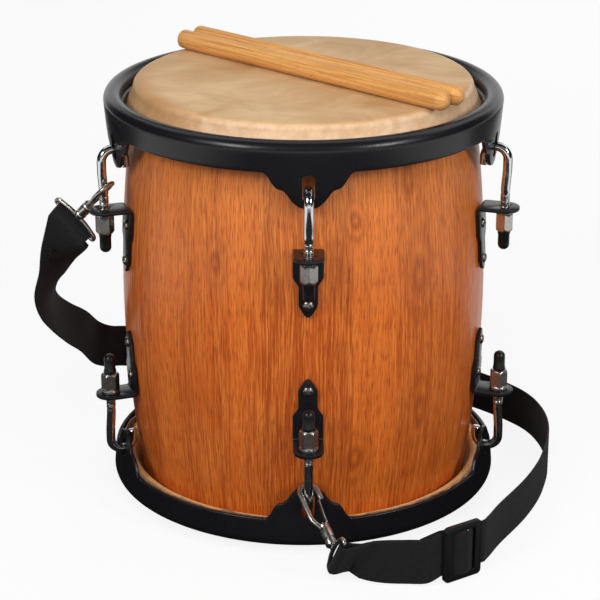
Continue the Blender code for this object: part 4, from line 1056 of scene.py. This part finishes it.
def webbing_band(name, stations):
    """The webbing along the stations, with thin selvedges. Its UV map is in metres, across and along."""
    half, thick = WEBBING_WIDTH / 2, WEBBING_THICKNESS / 2
    section = [(1.0, 0.0), (0.965, 1.0), (0.5, 1.0), (0.0, 1.0), (-0.5, 1.0), (-0.965, 1.0),
               (-1.0, 0.0), (-0.965, -1.0), (-0.5, -1.0), (0.0, -1.0), (0.5, -1.0), (0.965, -1.0)]
    work = bmesh.new()
    uv = work.loops.layers.uv.new("UVMap")
    rings, run = [], 0.0
    for i, (place, wide) in enumerate(stations):
        back = place - stations[max(i - 1, 0)][0]
        ahead = stations[min(i + 1, len(stations) - 1)][0] - place
        run += back.length
        back = ahead.copy() if back.length < 1e-9 else back
        ahead = back.copy() if ahead.length < 1e-9 else ahead
        along = (back.normalized() + ahead.normalized()).normalized()
        mitre = 1 / max(0.7, along.dot(ahead.normalized()))
        across = (wide - along * wide.dot(along)).normalized()
        off = along.cross(across).normalized() * thick * mitre
        rings.append(([work.verts.new(place + across * half * w + off * t) for w, t in section], run))
    for (ring, start), (after, stop) in zip(rings, rings[1:]):
        for j, (w, _) in enumerate(section):
            k = (j + 1) % len(section)
            face = work.faces.new((ring[j], ring[k], after[k], after[j]))
            for loop, (share, at) in zip(face.loops, ((w, start), (section[k][0], start), (section[k][0], stop),
                                                      (w, stop))):
                loop[uv].uv = (share * half, at)
    work.faces.new(rings[0][0])
    work.faces.new(list(reversed(rings[-1][0])))
    bmesh.ops.recalc_face_normals(work, faces=work.faces)
    mesh = bpy.data.meshes.new(name)
    work.to_mesh(mesh)
    work.free()
    return mesh


# Woven polyester, dull black: ribs across every 1.3 mm, which is nearly twice the real spacing so
# that they show, lengthwise cords every 2.4 mm, and a dusty sheen at grazing angles.
RIB_SPACING = 0.0013
CORD_SPACING = 0.0024
webbing, web_tree, web_shader = new_finish("woven polyester webbing", {"Roughness": 0.86, "Sheen Weight": 0.06,
                                                                       "Sheen Roughness": 0.5})
weave_at = add_node(web_tree, "ShaderNodeUVMap", {"uv_map": "UVMap"})
weave_axes = add_node(web_tree, "ShaderNodeSeparateXYZ", {}, {0: weave_at})
cord_run = add_node(web_tree, "ShaderNodeMath", {"operation": "DIVIDE", 1: CORD_SPACING},
                    {0: weave_axes.outputs[0]})
cord_zigzag = add_node(web_tree, "ShaderNodeMath", {"operation": "PINGPONG", 1: 1.0}, {0: cord_run})
cord_slant = add_node(web_tree, "ShaderNodeMath", {"operation": "MULTIPLY", 1: 0.5}, {0: cord_zigzag})
rib_run = add_node(web_tree, "ShaderNodeMath", {"operation": "DIVIDE", 1: RIB_SPACING}, {0: weave_axes.outputs[1]})
rib_slanted = add_node(web_tree, "ShaderNodeMath", {"operation": "ADD"}, {0: rib_run, 1: cord_slant})
rib = add_node(web_tree, "ShaderNodeMath", {"operation": "PINGPONG", 1: 0.5}, {0: rib_slanted})
cord_ridge = add_node(web_tree, "ShaderNodeMath", {"operation": "PINGPONG", 1: 0.5}, {0: cord_run})
weave_height = add_node(web_tree, "ShaderNodeMath", {"operation": "MULTIPLY_ADD", 1: 0.5},
                        {0: cord_ridge, 2: rib})
lint = add_node(web_tree, "ShaderNodeTexNoise", {"Scale": 240.0, "Detail": 3.0}, {"Vector": weave_at})
# Painted highlight: the raised ribs and cords are painted a lighter black where the lint noise lies on them, partly
# real lint and partly highlight on the ridge tops.
ridge_highlight_and_lint = add_node(web_tree, "ShaderNodeMath", {"operation": "MULTIPLY"}, {0: weave_height, 1: lint})
ridge_highlight_share = add_node(web_tree, "ShaderNodeMapRange", {"From Min": 0.05, "From Max": 0.42}, {"Value": ridge_highlight_and_lint})
web_colour = add_node(web_tree, "ShaderNodeMix", {"data_type": "RGBA", 6: linear("#09090B"), 7: linear("#19191C")},
                      {0: ridge_highlight_share})
web_tree.links.new(web_colour.outputs[2], web_shader.inputs["Base Color"])
web_bump = add_node(web_tree, "ShaderNodeBump", {"Strength": 0.8, "Distance": 0.0004}, {"Height": weave_height})
web_tree.links.new(web_bump.outputs[0], web_shader.inputs["Normal"])

stations = strap_stations(6)
strap_mesh = webbing_band("webbing_strap", stations)
strap_piece = fit("webbing_strap", strap_mesh, webbing, "drum", "webbing", "strap")

# Strap stitches
# Black bonded thread, lock-stitched in a box with a cross near each sewn end, so that the doubled
# webbing can't pull out of its eye.
STITCH_PITCH = 0.0033
STITCH_LENGTH = 0.0026
STITCH_THREAD = 0.0003
stitch_rows, given, shown = new_tree("lock stitches along lines", [
    ("Pitch", "NodeSocketFloat"), ("Length", "NodeSocketFloat"), ("Thread", "NodeSocketFloat"),
    ("Finish", "NodeSocketMaterial")])
stitch_curve = add_node(stitch_rows, "GeometryNodeMeshToCurve", {}, {"Mesh": given.outputs["Geometry"]})
stitch_points = add_node(stitch_rows, "GeometryNodeCurveToPoints", {"mode": "LENGTH"},
                         {"Curve": stitch_curve, "Length": given.outputs["Pitch"]})
stitch_bar = add_node(stitch_rows, "GeometryNodeMeshCylinder", {"Vertices": 6, "Side Segments": 1},
                      {"Radius": given.outputs["Thread"], "Depth": given.outputs["Length"]})
stitch_set = add_node(stitch_rows, "GeometryNodeInstanceOnPoints", {},
                      {"Points": stitch_points, "Instance": stitch_bar, "Rotation": stitch_points.outputs["Rotation"]})
stitch_real = add_node(stitch_rows, "GeometryNodeRealizeInstances", {}, {0: stitch_set})
stitch_finish = add_node(stitch_rows, "GeometryNodeSetMaterial", {}, {"Geometry": stitch_real,
                                                                      "Material": given.outputs["Finish"]})
stitch_rows.links.new(stitch_finish.outputs[0], shown.inputs[0])


def stitch_box(place, along, wide, out, length, half):
    """Six straight rows, a box and its cross, on the webbing's face."""
    corners = [place + along * a + wide * w + out for a, w in ((0, -half), (0, half), (length, half), (length, -half))]
    return corners, [(0, 1), (1, 2), (2, 3), (3, 0), (0, 2), (1, 3)]


bonded, bonded_tree, bonded_shader = new_finish("bonded black thread", {"Base Color": linear("#202022")})
bonded_at = add_node(bonded_tree, "ShaderNodeTexCoord")
bonded_ply = add_node(bonded_tree, "ShaderNodeTexNoise", {"Scale": 1500.0}, {"Vector": bonded_at.outputs["Object"]})
bonded_dull = add_node(bonded_tree, "ShaderNodeMapRange", {"To Min": 0.4, "To Max": 0.7}, {"Value": bonded_ply})
bonded_tree.links.new(bonded_dull.outputs[0], bonded_shader.inputs["Roughness"])

stitch_verts, stitch_edges = [], []
left_end, left_before = stations[-1], stations[-5]
left_along = (left_before[0] - left_end[0]).normalized()
left_off = left_along.cross(left_end[1]).normalized()
left_off *= -1 if left_off.dot(LEFT_BAR - stations[-20][0]) > 0 else 1
for sign in (1, -1):
    verts, edges = stitch_box(left_end[0], left_along, left_end[1], left_off * sign * 0.0009, 0.012, 0.0145)
    stitch_edges += [(a + len(stitch_verts), b + len(stitch_verts)) for a, b in edges]
    stitch_verts += verts
stitch_lines = bpy.data.meshes.new("stitch_lines")
stitch_lines.from_pydata(stitch_verts, stitch_edges, [])
stitch_mesh = grown("strap_stitches", stitch_rows, {"Pitch": STITCH_PITCH, "Length": STITCH_LENGTH,
                                                    "Thread": STITCH_THREAD, "Finish": bonded}, stitch_lines)
stitch_piece = fit("strap_stitches", stitch_mesh, bonded, "drum", "webbing")

# Slide buckle
# A three-bar slide, injection-moulded in black nylon with a fine matt texture from the tool. The
# middle bar is set lower, and the outer frame is rounded for the webbing.
nylon, nylon_tree, nylon_shader = new_finish("moulded black nylon", {"Base Color": linear("#131315")})
nylon_at = add_node(nylon_tree, "ShaderNodeTexCoord")
nylon_grit = add_node(nylon_tree, "ShaderNodeTexNoise", {"Scale": 1400.0, "Detail": 2.0},
                      {"Vector": nylon_at.outputs["Object"]})
nylon_dull = add_node(nylon_tree, "ShaderNodeMapRange", {"To Min": 0.4, "To Max": 0.58}, {"Value": nylon_grit})
nylon_tree.links.new(nylon_dull.outputs[0], nylon_shader.inputs["Roughness"])
nylon_bump = add_node(nylon_tree, "ShaderNodeBump", {"Strength": 0.3, "Distance": 0.00004}, {"Height": nylon_grit})
nylon_tree.links.new(nylon_bump.outputs[0], nylon_shader.inputs["Normal"])


def moulded_slide():
    """The slide about its own centre, along X, outwards to -Y."""
    half, high, corner, thick = 0.018, 0.024, 0.004, 0.0034
    outline = arc((half - corner, high - corner), corner, 0, 90, 8)
    outline += arc((corner - half, high - corner), corner, 90, 180, 8)
    outline += arc((corner - half, corner - high), corner, 180, 270, 8)
    outline += arc((half - corner, corner - high), corner, 270, 360, 8)
    body = prism("slide_body", [(x, -thick / 2, z) for x, z in outline], (0, thick + 0.0006, 0))
    opening, tools = 0.0183, []
    for x0, x1, y0, y1 in ((-0.0120, -0.0018, -0.003, 0.003), (0.0018, 0.0120, -0.003, 0.003),
                           (-0.0022, 0.0022, -0.003, -0.0003), (-0.0022, 0.0022, 0.0015, 0.003)):
        corners = [(x0, y0, -opening), (x1, y0, -opening), (x1, y1, -opening), (x0, y1, -opening)]
        tools.append(("DIFFERENCE", prism("slide_opening", corners, (0, 0, 2 * opening))))
    return carved("moulded_slide", body, tools, 0.0009)


slide_mesh = moulded_slide()
slide_mesh.transform(Matrix.Translation(BUCKLE_AT) @ Matrix.Rotation(BUCKLE_TURN, 4, "Z"))
slide_piece = fit("webbing_slide", slide_mesh, nylon, "drum", "plastic", "strap_buckle")

# Snap hooks
# Two spring snap hooks of chrome-plated steel: a barrel that turns on the strap's eye, a hook bent
# from 4 mm wire and a leaf gate of spring steel that shuts against its nose.
SNAP_WIRE = 0.0021
SNAP_BEND = 0.008
SNAP_LEG = 0.050
EYE_WIRE = 0.00175
EYE_HALF = 0.0225


def frame_from(origin, along, side_y=None, side_z=None):
    """A placement whose X runs along, with its Y or its Z as near as can be to the one given."""
    x = along.normalized()
    if side_y is not None:
        y = (side_y - x * side_y.dot(x)).normalized()
        z = x.cross(y)
    else:
        z = (side_z - x * side_z.dot(x)).normalized()
        y = z.cross(x)
    return Matrix.Translation(origin) @ Matrix((x, y, z)).transposed().to_4x4()


def along_x(mesh):
    """A turned mesh laid along X."""
    mesh.transform(Matrix.Rotation(math.pi / 2, 4, "Y"))
    return mesh


def snap_hook():
    """The barrel with its grooves, and the wire out of it and round to the nose."""
    lean = [(0.015, -0.0018), (0.0175, -0.0030), (0.0210, -0.0052), (0.0245, -0.0072), (0.0280, -0.0080)]
    route = lean + [(0.035, -SNAP_BEND), (0.043, -SNAP_BEND)]
    route += [(SNAP_LEG + x, y) for x, y in arc((0, 0), SNAP_BEND, -90, 90, 22)]
    route += [(0.046, SNAP_BEND), (0.0424, SNAP_BEND), (0.0420, SNAP_BEND)]
    factors = [1.0] * (len(route) - 1) + [0.75]
    rod = drawn_wire("snap_rod", [(x, y, 0) for x, y in route], SNAP_WIRE, factors)
    barrel = [(0, 0.0096), (0.0023, 0.0096), (0.0023, 0.0002), (0.0040, 0.0), (0.0046, 0.0005), (0.0048, 0.0012),
              (0.0048, 0.0046), (0.0042, 0.0052), (0.0042, 0.0062), (0.0048, 0.0068), (0.0048, 0.0150),
              (0.0044, 0.0160), (0.0044, 0.0168), (0.0048, 0.0176), (0.0047, 0.0190), (0.0040, 0.0198), (0, 0.0200)]
    return joined("snap_hook", [rod, along_x(turned("snap_barrel", barrel, 36))])


def snap_gate():
    """The leaf about its own hinge, with the rivet that it turns on."""
    leaf = [(-0.0004, -0.0008), (0.0060, -0.0003), (0.0150, 0.0006), (0.0218, 0.0013), (0.0220, 0.0024),
            (0.0150, 0.0015), (0.0060, 0.0008), (-0.0004, 0.0010)]
    plate = carved("snap_leaf", prism("snap_leaf", [(x, y, -0.002) for x, y in leaf], (0, 0, 0.004)), [], 0.0002)
    rivet = turned("snap_rivet", [(0, -0.0022), (0.0006, -0.0022), (0.0009, -0.0020), (0.0009, 0.0020),
                                  (0.0006, 0.0022), (0, 0.0022)], 16)
    rivet.transform(Matrix.Translation((0.0006, 0.0001, 0)))
    return joined("snap_gate", [plate, rivet])


def snap_eye():
    """The eye's ring with rounded corners, and the pin that turns in the barrel."""
    ring = [Vector(p) for p in ((-EYE_REACH, 0, EYE_HALF), (-0.0065, 0, EYE_HALF - 0.0005), (-0.0029, 0, 0.0072),
                                (-0.0029, 0, -0.0072), (-0.0065, 0, 0.0005 - EYE_HALF), (-EYE_REACH, 0, -EYE_HALF))]
    route = []
    for i, corner in enumerate(ring):
        before, after = ring[i - 1], ring[(i + 1) % len(ring)]
        cut = min(0.0035, (before - corner).length * 0.45, (after - corner).length * 0.45)
        start, stop = corner.lerp(before, cut / (before - corner).length), corner.lerp(after, cut / (after - corner).length)
        for s in (0, 0.25, 0.5, 0.75, 1):
            route.append(start.lerp(corner, s).lerp(corner.lerp(stop, s), s))
    pin = [(0, -0.0034), (0.0019, -0.0034), (0.0027, -0.0028), (0.0028, -0.0018), (0.0025, -0.0008), (0.0019, -0.0004),
           (0.0019, 0.0088), (0, 0.0090)]
    return joined("snap_eye", [drawn_wire("eye_ring", route, EYE_WIRE, None, True), along_x(turned("eye_pin", pin, 24))])


SNAPS = {"front": (FRONT_SNAP, FRONT_AWAY, Vector((0.883, 0.465, -0.061)), FRONT_WIDE),
         "left": (LEFT_SNAP, LEFT_AWAY, Vector((-0.608, -0.754, -0.250)), -LEFT_WIDE)}
for snap, (origin, away, lateral, bar) in SNAPS.items():
    hook_place = frame_from(origin, -away, side_y=lateral)
    eye_place = frame_from(origin, -away, side_z=bar)
    parts = {"hook": (snap_hook(), hook_place, f"{snap}_snap"),
             "gate": (snap_gate(), hook_place @ Matrix.Translation((0.0210, 0.0032, 0)), f"{snap}_gate"),
             "eye": (snap_eye(), eye_place, "drum")}
    for part, (part_mesh, place, body) in parts.items():
        part_mesh.transform(place)
        fit(f"{snap}_spring_{part}", part_mesh, nickel, body, "chrome", f"{snap}_snap_{part}")

# Sticks
# Two plain sticks of straight-grained oak, turned to 16 mm and sanded, oiled rather than lacquered.
# One end is nosed for the head and the other only eased, for playing on the shell.
STICK_RADIUS = 0.0081
STICK_LENGTH = 0.296
half_stick = STICK_LENGTH / 2
nose = [(STICK_RADIUS * math.sin(t), half_stick - 0.0075 + 0.0075 * math.cos(t))
        for t in [math.radians(9 * i) for i in range(1, 11)]]
stick_line = [(0, half_stick)] + nose + [(STICK_RADIUS, half_stick - 0.0075 - (STICK_LENGTH - 0.0105) * k / 24)
                                         for k in range(1, 25)]
stick_line += [(STICK_RADIUS - 0.0005, 0.0014 - half_stick), (STICK_RADIUS * 0.82, 0.0004 - half_stick),
               (STICK_RADIUS * 0.5, -half_stick), (0, -half_stick)]
STICKS = {"front": (0.0038, -0.0072, -43.0, 0.3), "rear": (0.0162, 0.0072, -43.0, 2.0)}

# Oiled oak: pale orange-brown with long fine growth lines about 1.5 mm apart and short open pores.
oak, oak_tree, oak_shader = new_finish("oiled oak", {"Roughness": 0.46})
oak_at = add_node(oak_tree, "ShaderNodeUVMap", {"uv_map": "UVMap"})
oak_line_scale = add_node(oak_tree, "ShaderNodeVectorMath", {"operation": "MULTIPLY", 1: (520, 14, 1)}, {0: oak_at})
oak_line = add_node(oak_tree, "ShaderNodeTexNoise", {"Scale": 1.0, "Detail": 3.0, "Distortion": 0.4},
                    {"Vector": oak_line_scale})
oak_pore_scale = add_node(oak_tree, "ShaderNodeVectorMath", {"operation": "MULTIPLY", 1: (1600, 110, 1)}, {0: oak_at})
oak_pore = add_node(oak_tree, "ShaderNodeTexNoise", {"Scale": 1.0, "Detail": 1.0}, {"Vector": oak_pore_scale})
oak_broad_scale = add_node(oak_tree, "ShaderNodeVectorMath", {"operation": "MULTIPLY", 1: (110, 6, 1)}, {0: oak_at})
oak_broad = add_node(oak_tree, "ShaderNodeTexNoise", {"Scale": 1.0, "Detail": 2.0}, {"Vector": oak_broad_scale})
oak_line_mark = add_node(oak_tree, "ShaderNodeMapRange", {"From Min": 0.42, "From Max": 0.66, "To Max": 0.8},
                         {"Value": oak_line})
oak_base = add_node(oak_tree, "ShaderNodeMix", {"data_type": "RGBA", 6: linear("#EDB772"), 7: linear("#DA9A50")},
                    {0: oak_broad})
oak_lines = add_node(oak_tree, "ShaderNodeMix", {"data_type": "RGBA", 7: linear("#C07A34")},
                     {0: oak_line_mark, 6: oak_base.outputs[2]})
oak_pore_mark = add_node(oak_tree, "ShaderNodeMapRange", {"From Min": 0.62, "From Max": 0.72, "To Max": 0.5},
                         {"Value": oak_pore})
oak_colour = add_node(oak_tree, "ShaderNodeMix", {"data_type": "RGBA", 7: linear("#8E5522")},
                      {0: oak_pore_mark, 6: oak_lines.outputs[2]})
oak_tree.links.new(oak_colour.outputs[2], oak_shader.inputs["Base Color"])
oak_bump = add_node(oak_tree, "ShaderNodeBump", {"Strength": 0.4, "Distance": 0.00005, "invert": True},
                    {"Height": oak_pore_mark})
oak_tree.links.new(oak_bump.outputs[0], oak_shader.inputs["Normal"])

for stick, (x, y, turn, roll) in STICKS.items():
    stick_mesh = turned(f"{stick}_oak_stick", stick_line, 48)
    stick_mesh.transform(Matrix.Translation((x, y, 2 * MIDDLE + GAP + STICK_RADIUS))
                         @ Matrix.Rotation(math.radians(turn), 4, "Z") @ Matrix.Rotation(math.pi / 2, 4, "Y")
                         @ Matrix.Rotation(roll, 4, "Z"))
    fit(f"{stick}_oak_stick", stick_mesh, oak, f"{stick}_stick", "oak", f"stick_{stick}")
